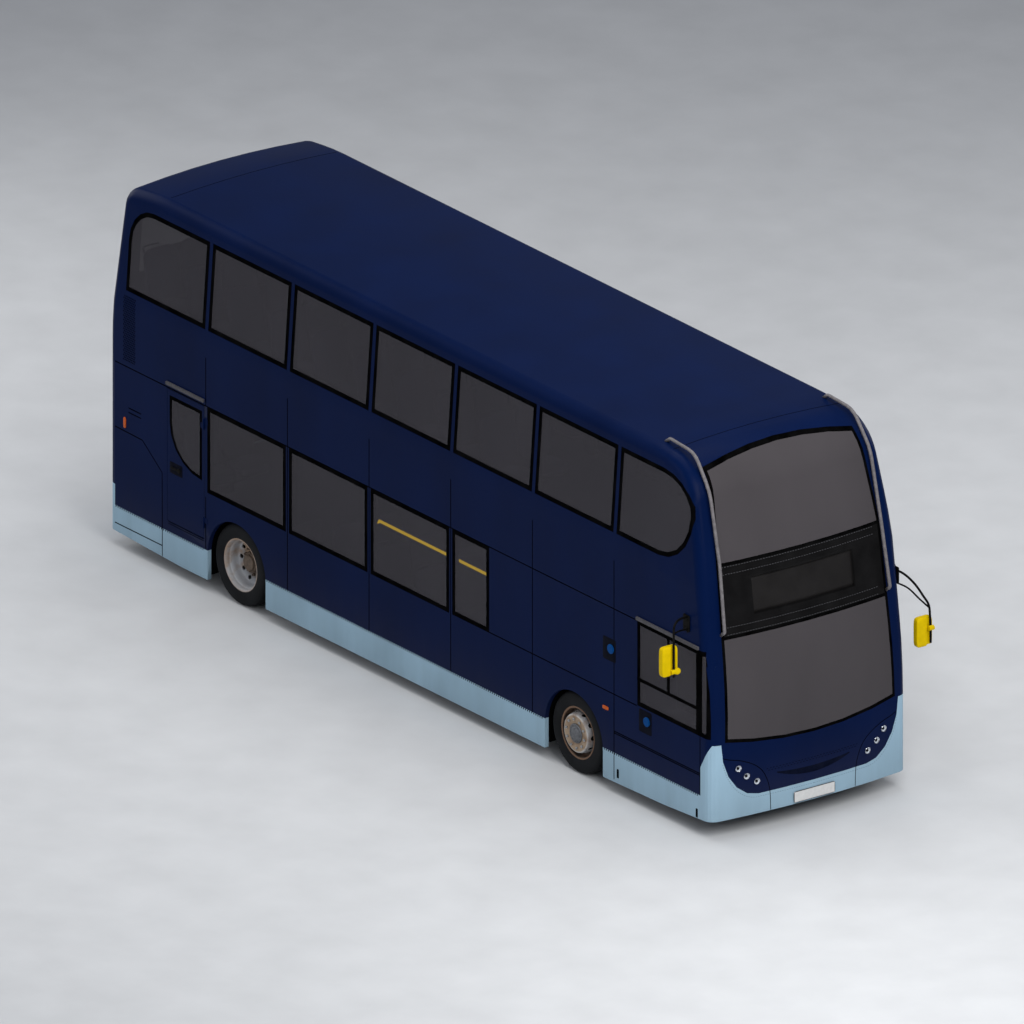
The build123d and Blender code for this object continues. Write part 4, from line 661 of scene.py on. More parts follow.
def skin_points(node_names, origins, direction):
    """Where straight lines first meet the skins of some CAD nodes, and the skin's direction there."""
    shape = bmesh.new()
    for name in node_names:
        shape.from_mesh(nodes[name].data)
    skin = BVHTree.FromBMesh(shape)
    shape.free()
    hits = [skin.ray_cast(Vector(origin), Vector(direction)) for origin in origins]
    met = [(place, normal) for place, normal, _, _ in hits if place is not None]
    return np.array([place for place, _ in met]), np.array([normal for _, normal in met])


def dome(profile, columns, place, outward):
    """Turned shape from (radius, height) points, standing on a skin along its outward direction."""
    outward = np.asarray(outward, float) / np.linalg.norm(outward)
    side = np.cross(outward, (0, 0, 1))
    side /= np.linalg.norm(side)
    up = np.cross(side, outward)
    angle = np.linspace(0, 2 * np.pi, columns, endpoint=False)[None, :, None]
    profile = np.asarray(profile, float)
    radius, height = profile[:, 0][:, None, None], profile[:, 1][:, None, None]
    return closed_grid(place + radius * (np.cos(angle) * side + np.sin(angle) * up) + height * outward)


def rounded_block(low, high, softness, rows=25, columns=48):
    """Superellipsoid between two corners: a box whose edges are rounded by an exponent."""
    low, high = np.asarray(low), np.asarray(high)
    up = np.linspace(-np.pi / 2, np.pi / 2, rows)[:, None]
    turn = np.linspace(0, 2 * np.pi, columns, endpoint=False)[None, :]
    level, height = eased(np.cos(up), softness), eased(np.sin(up), softness) + 0 * turn
    across, deep = eased(np.cos(turn), softness), eased(np.sin(turn), softness)
    shape = np.stack([level * across, level * deep, height], -1)
    return closed_grid((low + high) / 2 + shape * (high - low) / 2)


def lens(name, colour):
    """Lamp plastic with fine moulded ribs."""

    def recipe(place):
        turn = place.axis("Z") * LENS_RIBS
        rib = (turn.math("SINE", turn) + 1.0) * 0.5
        shade = place.noise(60.0, 2.0).ramp((0.3, times(colour, 0.7)), (0.7, colour))
        return {"Base Color": shade, "Normal": rib.bump(0.0008, 0.5), "Roughness": rib * 0.1 + 0.12}

    return material(name, recipe, Specular_IOR_Level=0.15)


clear_lens = lens("clear_lens", (0.62, 0.66, 0.72))
bright_bowl = plain_finish("bright_bowl", (0.7, 0.72, 0.76), 0.12, 0.7, 60.0, metal=1.0)
lamp_dark = plain_finish("lamp_dark", (0.003, 0.003, 0.0035), 0.5, 0.5, 50.0, 0.04)
red_lens = lens("red_lens", (0.42, 0.012, 0.012))
orange_lens = lens("orange_lens", (0.56, 0.1, 0.012))
spots = []
for y, z in [(sign * y, z) for y, z in LAMP_SPOTS for sign in BOTH]:
    slope = 2 * FRONT_BOW * y / half_width**2
    place = np.array([front_x - FRONT_BOW * (y / half_width) ** 2, y, z])
    spots.append((place, np.array([1, slope, 0]) / np.hypot(1, slope)))
for name, section, columns, finish, slot_name, stands_for in (
    ("bezels", BEZEL, 40, navy_paint, "body_paint", None),
    ("rings", LAMP_RING, 40, bright_bowl, "grey_metal", None),
    ("bowls", BOWL, 32, clear_lens, "lamp_clear", "headlamps"),
    ("bulbs", BULB, 24, lamp_dark, "black_panel", None),
    ("pots", POT, 32, lamp_dark, "black_panel", None),
):
    shapes = [dome(section, columns, *spot) for spot in spots]
    new_piece("headlamp_" + name, shapes, finish, stands_for=stands_for)

low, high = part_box("tail_lamps")
rows = np.linspace(low.z + TAIL_HALF, high.z - TAIL_HALF, 3)
spots = [np.array([low.x + 0.008, sign * (high.y - TAIL_HALF), z]) for z in rows for sign in BOTH]
shapes = [dome(TAIL_RING, 40, spot, (-1, 0, 0)) for spot in spots]
new_piece("tail_lamp_rings", shapes, lamp_dark)
shapes = [dome(TAIL_LENS, 40, spot, (-1, 0, 0)) for spot in spots]
new_piece("tail_lenses", shapes, red_lens, stands_for="tail_lamps")
shapes = []
for x, z, half_x, half_z in MARKERS:
    for sign in BOTH:
        ends = sorted((sign * (half_width - MARKER_SUNK), sign * (half_width + MARKER_PROUD)))
        low, high = (x - half_x, ends[0], z - half_z), (x + half_x, ends[1], z + half_z)
        shapes.append(rounded_block(low, high, 0.45, 17, 32))
new_piece("marker_lenses", shapes, orange_lens, stands_for="marker_lamps")

# ---------------------------------------------------------------- mirrors
# Each mirror is a yellow moulded head with an upright groove, clamped on bent black tubes. The
# tubes spring from a plate bolted to the wall; the glass faces rearwards. The right one has a knob.

MIRROR_TUBE, MIRROR_STAY = 0.0125, 0.0095  # radius of the main tube and of its stay
# by side: the upright tube's y, the groove's y, and the clamp as (ahead of the tube, y, y, z)
STEM_Y = {-1: -1.512, 1: 1.668}
GROOVE_Y = {-1: -1.522, 1: 1.648}
CLAMP = {-1: (0.006, -1.557, -1.446, 1.866), 1: (0.024, 1.623, 1.686, 1.676)}
CLAMP_RADIUS = 0.027
STEM_SUNK = 0.008  # from the head's front face back to the upright tube's middle
FOOT_AHEAD, FOOT_OUT = 0.065, 0.006  # start of the tubes: ahead of the CAD arms' rear end, and off the wall
KNOB_Y, KNOB_FACING = -1.476, (1, -0.15, 0.1)
GROOVE_HALF, GROOVE_SINK = 0.027, 0.03
GLASS_INSET, GLASS_THICK = 0.022, 0.012
WALL_PLATE_Z, WALL_PLATE_HALF, WALL_PLATE_THICK = (2.238, 2.422), 0.055, 0.013
WALL_BOLT_Z = (2.262, 2.398)
# section of the knob as (radius, height)
KNOB = [(0.0002, 0.034), (0.024, 0.033), (0.034, 0.026), (0.037, 0.012), (0.036, -0.01), (0.03, -0.03)]


def corners_of(node_name):
    """Every corner of a CAD node."""
    mesh = nodes[node_name].data
    corners = np.empty(len(mesh.vertices) * 3)
    mesh.vertices.foreach_get("co", corners)
    return corners.reshape(-1, 3)


def half_box(node_name, sign):
    """Lowest and highest corner of the part of a CAD node on one side of the centre line."""
    corners = corners_of(node_name)
    corners = corners[corners[:, 1] * sign > 0]
    return corners.min(0), corners.max(0)


def smooth_route(points, count=48):
    """Points along a Catmull-Rom curve through the given corners."""
    points = np.asarray(points, float)
    padded = np.vstack([2 * points[0] - points[1], points, 2 * points[-1] - points[-2]])
    along = np.linspace(0, len(points) - 1 - 1e-9, count)
    index, share = along.astype(int), (along % 1)[:, None]
    a, b, c, d = (padded[index + step] for step in range(4))
    bend = (2 * a - 5 * b + 4 * c - d) * share**2 + (3 * b - a - 3 * c + d) * share**3
    return (2 * b + (c - a) * share + bend) / 2


def tube(route, radius, columns=14):
    """Round tube along a route, closed at both ends; its frame follows a fixed side direction."""
    route = np.asarray(route, float)
    run = np.gradient(route, axis=0)
    run /= np.linalg.norm(run, axis=1, keepdims=True)
    side = np.cross(run, (0.31, 0.87, 0.38))
    side /= np.linalg.norm(side, axis=1, keepdims=True)
    up = np.cross(run, side)
    turn = np.linspace(0, 2 * np.pi, columns, endpoint=False)[None, :, None]
    grid = route[:, None] + radius * (np.cos(turn) * side[:, None] + np.sin(turn) * up[:, None])
    ends = np.repeat(route[[0, -1]][:, None], columns, axis=1)
    return closed_grid(np.concatenate([ends[:1], grid, ends[1:]]))


def soft_box(low, high, power, rows=41, columns=96):
    """Box with soft edges: even steps round a square, drawn in by a power norm, in plan and in height."""

    def drawn_in(points):
        return points / (np.abs(points) ** power).sum(-1, keepdims=True) ** (1 / power)

    step = np.linspace(-1, 1, columns // 4, endpoint=False)
    one = np.ones_like(step)
    ring = drawn_in(np.stack([np.r_[step, one, -step, -one], np.r_[-one, step, one, -step]], -1))
    along = np.linspace(0, 4, rows)
    level = np.interp(along, [0, 1, 3, 4], [0.002, 1, 1, 0.002])
    side = drawn_in(np.stack([level, np.interp(along, [0, 1, 3, 4], [-1, -1, 1, 1])], -1))
    plan = side[:, None, :1] * ring[None]
    shape = np.concatenate([plan, np.broadcast_to(side[:, None, 1:], plan[..., :1].shape)], -1)
    low, high = np.asarray(low), np.asarray(high)
    return closed_grid((low + high) / 2 + shape * (high - low) / 2)


mirror_yellow = plain_finish("mirror_yellow", (0.66, 0.46, 0.0), 0.5, 0.2, 14.0, 0.05)
mirror_glass = plain_finish("mirror_glass", (0.5, 0.52, 0.54), 0.06, 0.2, 3.0, metal=1.0)
tube_black = plain_finish("tube_black", (0.0022, 0.0021, 0.0021), 0.6, 0.6, 20.0, 0.05)
heads, glasses, arms = [], [], []
for sign in BOTH:
    low, high = half_box("mirror_heads", sign)
    stem_x, stem_y = high[0] - STEM_SUNK, STEM_Y[sign]
    corners, faces = soft_box(low, high, 7.0)
    channel = np.exp(-(((corners[:, 1] - GROOVE_Y[sign]) / GROOVE_HALF) ** 6))
    front_side = np.clip((corners[:, 0] - (low[0] + high[0]) / 2) / GROOVE_SINK, 0, 1)
    corners[:, 0] -= GROOVE_SINK * channel * front_side
    heads.append((corners, faces))
    glass_low = (low[0], low[1] + GLASS_INSET, low[2] + GLASS_INSET)
    glass_high = (low[0] + GLASS_THICK, high[1] - GLASS_INSET, high[2] - GLASS_INSET)
    glasses.append(rounded_block(glass_low, glass_high, 0.3))
    plate_x, wall = half_box("mirror_arms", sign)[0][0] + FOOT_AHEAD, sign * half_width
    foot_y = wall + sign * FOOT_OUT
    if sign < 0:
        route = [(plate_x, foot_y, 2.395), (4.83, -1.39, 2.411), (4.86, -1.46, 2.404)]
        route += [(stem_x, -1.506, 2.365), *[(stem_x, stem_y, z) for z in (2.28, 2.0, 1.80)]]
        stay = [(plate_x, foot_y, 2.255), (4.83, -1.39, 2.28), (stem_x, stem_y, 2.29)]
    else:
        route = [(plate_x, foot_y, 2.372), (4.985, 1.36, 2.33), (5.0, 1.443, 2.258), (5.02, 1.534, 2.147)]
        route += [(5.05, 1.6, 2.03), (stem_x, 1.642, 1.93), (stem_x, 1.66, 1.8)]
        route += [(stem_x, stem_y, 1.65), (stem_x, stem_y, 1.50)]
        stay = [(plate_x, foot_y, 2.24), (5.0, 1.443, 2.135), (5.04, 1.56, 2.0), (stem_x, 1.645, 1.90)]
    arms += [tube(smooth_route(route, 60), MIRROR_TUBE), tube(smooth_route(stay, 30), MIRROR_STAY, 12)]
    plate_y = sorted((wall, wall + sign * WALL_PLATE_THICK))
    plate_low = (plate_x - WALL_PLATE_HALF, plate_y[0], WALL_PLATE_Z[0])
    arms.append(rounded_block(plate_low, (plate_x + WALL_PLATE_HALF, plate_y[1], WALL_PLATE_Z[1]), 0.2))
    for z in WALL_BOLT_Z:
        arms.append(nuts(2, 0.034, 0.012, 0.011, 0.007, (plate_x, wall, z), sign, 0.25))
    ahead_of_tube, clamp_low, clamp_high, clamp_z = CLAMP[sign]
    clamp_x = stem_x + ahead_of_tube
    heads.append(tube([(clamp_x, clamp_low, clamp_z), (clamp_x, clamp_high, clamp_z)], CLAMP_RADIUS, 20))
    if sign < 0:
        heads.append(dome(KNOB, 32, np.array([stem_x, KNOB_Y, clamp_z]), KNOB_FACING))
new_piece("mirror_shells", heads, mirror_yellow, stands_for="mirror_heads")
new_piece("mirror_glasses", glasses, mirror_glass)
new_piece("mirror_tubes", arms, tube_black, stands_for="mirror_arms")

# ---------------------------------------------------------------- grey tubes and drip rails
# Aluminium drip rails over the openings, and the steel guard tubes that keep branches off the
# upper front corners, stood off the skin on short feet.

satin_grey = plain_finish("satin_grey", (0.15, 0.14, 0.145), 0.5, 0.6, 25.0, 0.15)
smooth_copy("guard_tubes", satin_grey, 70, weighted=False)
drip_grey = plain_finish("drip_grey", (0.075, 0.073, 0.08), 0.55, 0.6, 25.0, 0.08)
smooth_copy("drip_rails", drip_grey, 25)

# ---------------------------------------------------------------- front mouldings
# Joints beside the lamps, a shallow grip recess under the lower screen, and rows of small clips on
# the dark band, above the grip and round the bumper's lip. All are beads on the bowed front; the
# grip's beads are dark, painted shade standing for the recess, which is not cut in.

LAMP_SEAM = [(1.12, 0.90), (1.04, 0.872), (0.95, 0.85), (0.874, 0.823), (0.80, 0.79), (0.733, 0.75)]
LAMP_SEAM += [(0.68, 0.705), (0.636, 0.652), (0.60, 0.58), (0.575, 0.51), (0.561, 0.445), (0.552, 0.33)]
LAMP_SEAM += [(0.55, 0.215)]  # y and z on the left
GRIP_HALF, GRIP_Z = 0.47, 0.618
GRIP_DEPTHS = (0.030, 0.042, 0.054, 0.066, 0.078, 0.09)  # sag of each of its beads
CLIP_ROWS = ((0.60, 0.684), (0.58, 0.662))  # half length and height
LIP_MIDDLE, LIP_SIZE, LIP_TURN = (0.7, 1.025), (0.45, 0.63), 1.35  # the bumper lip's ellipse, in y and z
LIP_Z = 0.394  # height of the lip at the centre line
BAND_EDGE, BAND_INSET = 0.012, 0.09  # the band's outer and inner rows, from its edges


def front_line(corners, count=40):
    """Points and outward directions on the front skin along a line given by (y, z) corners."""
    corners = np.asarray(corners, float)
    length = np.r_[0, np.cumsum(np.linalg.norm(np.diff(corners, axis=0), axis=1))]
    along = np.linspace(0, length[-1], count)
    y, z = np.interp(along, length, corners[:, 0]), np.interp(along, length, corners[:, 1])
    return skin_points(front_skins, np.stack([np.full(count, front_x + 1), y, z], 1), (-1, 0, 0))


def cut_into_dashes(line, pitch, share):
    """A line as short dashes of one pitch, each a share of it long."""
    points, outward = line
    length = np.r_[0, np.cumsum(np.linalg.norm(np.diff(points, axis=0), axis=1))]
    starts = np.arange(0, length[-1] - pitch, pitch)
    ends = np.stack([starts, starts + pitch * share], 1)
    places = np.stack([np.interp(ends, length, points[:, axis]) for axis in range(3)], -1)
    facing = np.stack([np.interp(ends, length, outward[:, axis]) for axis in range(3)], -1)
    return list(zip(places, facing))


front_skins = ("front_panel", "front_bumper", "destination_box")
front_skins += ("windscreen_frame", "windscreens", "front_dome")
seams = [front_line(smooth_route(LAMP_SEAM, 40) * (sign, 1), 60) for sign in BOTH]
bead_piece("front_joints", seams, 0.009, 0.0012, joint_black_and_hole_shade)
share = np.linspace(-1, 1, 41)
sags = [GRIP_Z - depth * (1 - share**2) for depth in GRIP_DEPTHS]
fields = [front_line(np.stack([share * GRIP_HALF, sag], 1), 50) for sag in sags]
# painted shade: the grip's dark beads stand for the shade in its recess
grip_painted_shade = plain_finish("grip_painted_shade", (0.0012, 0.003, 0.013), 0.7, 0.5, 12.0, 0.03)
bead_piece("front_grip", fields, 0.014, 0.0016, grip_painted_shade)
rows = [front_line([(-half, z), (half, z)]) for half, z in CLIP_ROWS]
clips = [dash for row in rows for dash in cut_into_dashes(row, 0.04, 0.5)]
bead_piece("front_clips", clips, 0.006, 0.001, joint_black_and_hole_shade)
turn = np.linspace(0, LIP_TURN, 24)[1:-1]
lip = np.array(LIP_MIDDLE) + np.array(LIP_SIZE) * np.stack([np.sin(turn), -np.cos(turn)], 1)
lip = np.vstack([(0, LIP_Z), lip])
lip_dark = plain_finish("lip_dark", (0.17, 0.25, 0.30), 0.6, 0.3, 20.0, 0.1)
clips = [dash for sign in BOTH for dash in cut_into_dashes(front_line(lip * (sign, 1), 60), 0.03, 0.6)]
bead_piece("bumper_lip", clips, 0.006, 0.001, lip_dark)
band_low, band_high = (corner.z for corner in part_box("destination_box"))
clip_grey = plain_finish("clip_grey", (0.055, 0.055, 0.06), 0.6, 0.4, 40.0, 0.1)
rows = (band_low + BAND_EDGE, band_low + BAND_INSET, band_high - BAND_INSET, band_high - BAND_EDGE)
clips = [dash for z in rows for dash in cut_into_dashes(front_line([(-1.0, z), (1.0, z)], 60), 0.034, 0.55)]
bead_piece("band_clips", clips, 0.007, 0.0012, clip_grey)

# ---------------------------------------------------------------- destination display
# A blank dark display in the black band between the upper and lower windscreens.
# The screen is a thin sheet that follows the bowed band.

SCREEN_HALF = 0.6567
SCREEN_LOW, SCREEN_HIGH = 2.394, 2.786

band_black = plain_finish("band_black", (0.0042, 0.0040, 0.0042), 0.45, 0.4, 5.0, 0.05)
display_black = plain_finish("display_black", (0.0115, 0.0105, 0.0105), 0.5, 0.3, 4.0, 0.08)
smooth_copy("destination_box", band_black, 28)
across = np.linspace(-SCREEN_HALF, SCREEN_HALF, 41)
across, up = np.meshgrid(across, np.linspace(SCREEN_LOW, SCREEN_HIGH, 9), indexing="ij")
origins = np.stack([np.full(across.size, front_x + 1), across.ravel(), up.ravel()], 1)
points, outward = skin_points(("destination_box",), origins, (-1, 0, 0))
screen = [(points + 0.002 * outward, grid_faces(*across.shape))]
thick = new_piece("display_screen", screen, display_black).modifiers.new("thick", "SOLIDIFY")
thick.thickness, thick.offset = 0.0015, -1

# ---------------------------------------------------------------- number plates
# Blank white plastic plates, one at each end of the bus, fixed flat to the body.
# Each has a rounded black border.

PLATE_HALF_WIDE, PLATE_HALF_HIGH = 0.2635, 0.0595  # to the middle of the border
FRONT_PLATE_Z, REAR_PLATE_Z = 0.29, 0.56


def refinish(node_name, finish):
    """A CAD node that keeps its own shape gets its real finish."""
    for material_slot in nodes[node_name].material_slots:
        material_slot.link = "OBJECT"
        material_slot.material = finish


plate_white = plain_finish("plate_white", (0.62, 0.62, 0.61), 0.4, 0.15, 30.0, 0.1)
plate_edge = plain_finish("plate_edge", (0.02, 0.02, 0.022), 0.5, 0.4, 30.0)
refinish("number_plates", plate_white)
low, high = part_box("number_plates")
for name, sign, z, face_x in (("front", 1, FRONT_PLATE_Z, high.x), ("rear", -1, REAR_PLATE_Z, low.x)):
    turn = np.linspace(0, 2 * np.pi, 64)
    y = PLATE_HALF_WIDE * eased(np.cos(turn), 0.12)
    up = z + PLATE_HALF_HIGH * eased(np.sin(turn), 0.18)
    border = np.stack([np.full(64, face_x - sign * 0.0016), y, up], 1)
    bead_piece("plate_border_" + name, [(border, (sign, 0, 0))], 0.009, 0.0014, plate_edge)

# ---------------------------------------------------------------- side fittings
# Blue filler caps in sunk square pockets, drain slots, an air grille of punched holes, two
# narrow slits and a fine trim bead along the skirts. The pockets, slots, slits and holes are thin
# dark patches and dots on the skin: painted shade standing for their hollows. The driver's window
# has two glazing bars.

CAP_PLACES = [(3.4415, 1.60), (4.0675, 0.98)]  # middle of each pocket as (x, z)
POCKET_HALF_X, POCKET_HALF_Z = 0.112, 0.128
CAP_AHEAD, CAP_ABOVE = 0.028, 0.012  # of the cap from the middle of its pocket
CAP_LUG = ((-0.012, -0.0158, 0.004), (0.068, -0.012, 0.02))  # its corners, from the same middle
CAP = [(0.052, 0.0), (0.052, 0.011), (0.048, 0.014), (0.03, 0.014), (0.0002, 0.0145)]
DRAIN_X, DRAIN_Z, DRAIN_HALF = (3.5885, 4.9625), 0.25, (0.018, 0.05)
SLIT_X, SLIT_Z, SLIT_HALF = 0.48, (1.576, 1.626), (0.11, 0.006)  # x is measured from the rear
GRILLE_COLUMNS, GRILLE_ROWS = 8, 30
GRILLE_X, GRILLE_Z = 0.285, 2.15  # lowest rear hole, with x measured from the rear
GRILLE_PITCH_X, GRILLE_PITCH_Z = 0.026, 0.0245
GRILLE_HOLE = [(0.0095, -0.0005), (0.0085, 0.0009), (0.0002, 0.0009)]
SKIRT_RUNS = [(rear_seam_x, -3.56), (-2.535, 2.31), (3.335, front_seam_x)]  # clear of the wheels
CAB_RAIL_X, CAB_RAIL_Z = (3.93, 4.958), 1.426
CAB_BAR_X, CAB_BAR_TOP = 4.4685, 2.05


def flat_patch(x, z, half_x, half_z, sign, lift, softness=0.16):
    """Thin rounded plate on a side: superellipse rims that step up to a flat middle."""
    turn = np.linspace(0, 2 * np.pi, 48, endpoint=False)
    ring = np.stack([half_x * eased(np.cos(turn), softness), half_z * eased(np.sin(turn), softness)], 1)
    rows = []
    for scale, height in ((1.0, -0.001), (1.0, lift * 0.6), (0.985, lift), (0.5, lift), (1e-4, lift)):
        flat = np.array([x, z]) + ring * scale
        rows.append(np.stack([flat[:, 0], sign * (side_y(flat[:, 1]) + height), flat[:, 1]], 1))
    return closed_grid(np.stack(rows))


cap_blue = plain_finish("cap_blue", (0.0, 0.05, 0.2), 0.5, 0.4, 30.0, 0.04)
# painted shade: each sunk pocket is a thin raised patch, darkened to stand for its recess
pocket_painted_shade = plain_finish("pocket_painted_shade", (0.0005, 0.0013, 0.0065), 0.7, 0.5, 12.0, 0.05)
caps, pockets = [], []
for x, z in CAP_PLACES:
    pockets.append(flat_patch(x, z, POCKET_HALF_X, POCKET_HALF_Z, -1, 0.0012))
    caps.append(dome(CAP, 40, np.array([x + CAP_AHEAD, -half_width, z + CAP_ABOVE]), (0, -1, 0)))
    low, high = np.array([x, -half_width, z]) + CAP_LUG
    caps.append(rounded_block(low, high, 0.3, 9, 24))
new_piece("filler_cap_covers", caps, cap_blue, stands_for="filler_caps")
new_piece("filler_pockets", pockets, pocket_painted_shade)
# Drain slots, slits and grille holes are thin raised patches and dots in black: painted shade standing for
# the dark inside each opening.
shapes = [flat_patch(x, DRAIN_Z, *DRAIN_HALF, -1, 0.0015, 0.3) for x in DRAIN_X]
shapes += [flat_patch(rear_x + SLIT_X, z, *SLIT_HALF, sign, 0.0012, 0.3) for z in SLIT_Z for sign in BOTH]
new_piece("drain_slots", shapes, joint_black_and_hole_shade)
column, row = np.divmod(np.arange(GRILLE_COLUMNS * GRILLE_ROWS), GRILLE_ROWS)
hole_x = rear_x + GRILLE_X + GRILLE_PITCH_X * (column + 0.5 * (row % 2))
hole_z = GRILLE_Z + GRILLE_PITCH_Z * row
for side, sign in (("right", -1), ("left", 1)):
    places = np.stack([hole_x, sign * side_y(hole_z), hole_z], 1)
    grille = repeated(dome(GRILLE_HOLE, 10, np.zeros(3), (0, sign, 0)), places)
    new_piece("air_grille_" + side, [grille], joint_black_and_hole_shade)
trim = []
for x0, x1 in SKIRT_RUNS:
    for sign in BOTH:
        x = np.linspace(x0 + 0.01, x1 - 0.01, 12)
        line = np.stack([x, np.full(12, sign * half_width), np.full(12, skirt_top - 0.01)], 1)
        trim += cut_into_dashes((line, np.tile((0.0, sign, 0.0), (12, 1))), 0.036, 0.42)
bead_piece("skirt_trim", trim, 0.018, 0.001, joint_black_and_hole_shade)
bar = [(CAB_BAR_X, -half_width, z) for z in (CAB_RAIL_Z, CAB_BAR_TOP)]
rail = [(x, -half_width, CAB_RAIL_Z) for x in CAB_RAIL_X]
bead_piece("cab_window_bars", [(bar, (0, -1, 0))], 0.05, 0.006, frame_rubber)
bead_piece("cab_window_rail", [(rail, (0, -1, 0))], 0.04, 0.006, frame_rubber)

# ---------------------------------------------------------------- rear and roof joints
# Joints between the roof and its end mouldings and across the rear, and louvres in the engine
# lid. All are beads that follow the skins.

ROOF_JOINT_HALF, ABOVE_ROOF = 1.13, 5.0
REAR_JOINT_HALF, REAR_JOINT_Z = 1.2, 2.936
LOUVRES, LOUVRE_HALF, LOUVRE_Z, LOUVRE_PITCH = 7, 0.72, 0.84, 0.065


def row_on_skin(node_names, start, end, direction, count):
    """Points and outward directions where lines from a straight row of places meet some skins."""
    return skin_points(node_names, np.linspace(start, end, count), direction)


skins = ("roof", "front_dome", "rear_dome", "side_wall_left", "side_wall_right")
lines = []
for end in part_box("roof"):
    start = (end.x - 0.004, -ROOF_JOINT_HALF, ABOVE_ROOF)
    lines.append(row_on_skin(skins, start, (end.x - 0.004, ROOF_JOINT_HALF, ABOVE_ROOF), (0, 0, -1), 41))
bead_piece("roof_joints", lines, 0.009, 0.0012, joint_black_and_hole_shade)
behind = rear_x - 1
lines = []
for z in LOUVRE_Z + LOUVRE_PITCH * np.arange(LOUVRES):
    start = (behind, -LOUVRE_HALF, z)
    lines.append(row_on_skin(("engine_lid",), start, (behind, LOUVRE_HALF, z), (1, 0, 0), 25))
bead_piece("lid_louvres", lines, 0.03, 0.006, navy_paint, "engine_cover")
skins = ("rear_panel", "rear_dome", "rear_bumper")
start = (behind, -REAR_JOINT_HALF, REAR_JOINT_Z)
line = row_on_skin(skins, start, (behind, REAR_JOINT_HALF, REAR_JOINT_Z), (1, 0, 0), 41)
bead_piece("rear_joints", [line], 0.009, 0.0012, joint_black_and_hole_shade)

# ---------------------------------------------------------------- saloon, cab and structure
# Floors are ply with speckled non-slip vinyl; the cab, dash and steering wheel are moulded
# plastic; rails are yellow powder-coated tube, with painted light: they glow by emission. The chassis
# and axles are black-painted steel.

RAIL_PAINTED_GLOW = 2.8  # makes up for the light that the tinted panes keep back
RAIL_WINDOW_Y = -1.12  # the glow fades in to the right of this

vinyl = plain_finish("floor_vinyl", (0.022, 0.023, 0.028), 0.7, 1.0, 60.0, 0.2)
moulded_plastic = plain_finish("moulded_plastic", (0.028, 0.028, 0.032), 0.55, 0.6, 20.0, 0.25)
road_steel = plain_finish("road_steel", (0.012, 0.0115, 0.011), 0.65, 1.0, 8.0, 0.2)
arch_black = plain_finish("arch_black", (0.0035, 0.0033, 0.0032), 0.9, 1.0, 7.0, 0.05)


def rail_coat(place):
    """Yellow powder coat with painted light: emission makes the rails along the right windows glow, the posts
    hardly.
    """
    painted_glow_by_window = ((RAIL_WINDOW_Y - place.axis("Y")) * 20.0).clamp()
    grain = place.noise(30.0, 3.0)
    return {
        "Base Color": grain.ramp((0.3, (0.64, 0.43, 0.008)), (0.7, (0.76, 0.51, 0.012))),
        "Roughness": grain * 0.1 + 0.35,
        "Normal": place.noise(500.0, 2.0).bump(0.0003, 0.1),
        "Emission Color": painted_glow_by_window.mix((0.08, 0.05, 0.0), (0.72, 0.46, 0.0)),
    }


# painted light: the rails glow by emission, though they are no lamp
rail_yellow_painted_glow = material("rail_yellow_painted_glow", rail_coat, Emission_Strength=RAIL_PAINTED_GLOW, Specular_IOR_Level=0.3)
for finish, names in (
    (vinyl, ("lower_floor", "upper_floor", "staircase")),
    (moulded_plastic, ("cab_partition", "dashboard")),
    (road_steel, ("chassis_frame", "axles", "engine_block")),
    (road_steel, ("steering_knuckle_left", "steering_knuckle_right")),
    (arch_black, ("wheel_boxes",)),
):
    for name in names:
        refinish(name, finish)
smooth_copy("handrails", rail_yellow_painted_glow, 60, weighted=False)
smooth_copy("steering_wheel", moulded_plastic, 50, weighted=False)

# ---------------------------------------------------------------- mud flaps
# Sheets of black rubber, ribbed by moulding, that hang behind each wheel from the arch.
# Their lower edge swings free just above the road.

FLAP_Y = (0.72, 1.235)
FLAP_BEHIND, FLAP_TOP, FLAP_DROP, FLAP_THICK = 0.588, 0.80, 0.655, 0.008
FLAP_CURL, FLAP_RIB = 0.006, 0.0015
FLAP_STRIPS, FLAP_ROWS = 22, 12

flaps = []
across, drop = np.meshgrid(np.linspace(*FLAP_Y, FLAP_STRIPS), np.linspace(0, 1, FLAP_ROWS), indexing="ij")
rib = FLAP_RIB * (np.arange(FLAP_STRIPS) % 2)[:, None]
for axle_x in (front_axle, rear_axle):
    for sign in BOTH:
        hang = axle_x - FLAP_BEHIND + FLAP_CURL * drop**2 + rib
        sheet = np.stack([hang, sign * across, FLAP_TOP - FLAP_DROP * drop], -1)
        loop = np.concatenate([sheet, (sheet - (FLAP_THICK, 0, 0))[:, ::-1]], 1)
        ends = loop[[0, -1]].mean(1, keepdims=True).repeat(2 * FLAP_ROWS, 1)
        flaps.append(closed_grid(np.concatenate([ends[:1], loop, ends[1:]])))
new_piece("mud_flaps", flaps, arch_black)

# ---------------------------------------------------------------- entrance doors
# Glazed aluminium leaves on turning shafts, painted like the body outside, with a thick rubber
# edge where the two leaves meet.

NOSING_RADIUS, NOSING_OUT = 0.009, 0.0048
NOSING_INSET = 0.07  # above and below the edge rubber

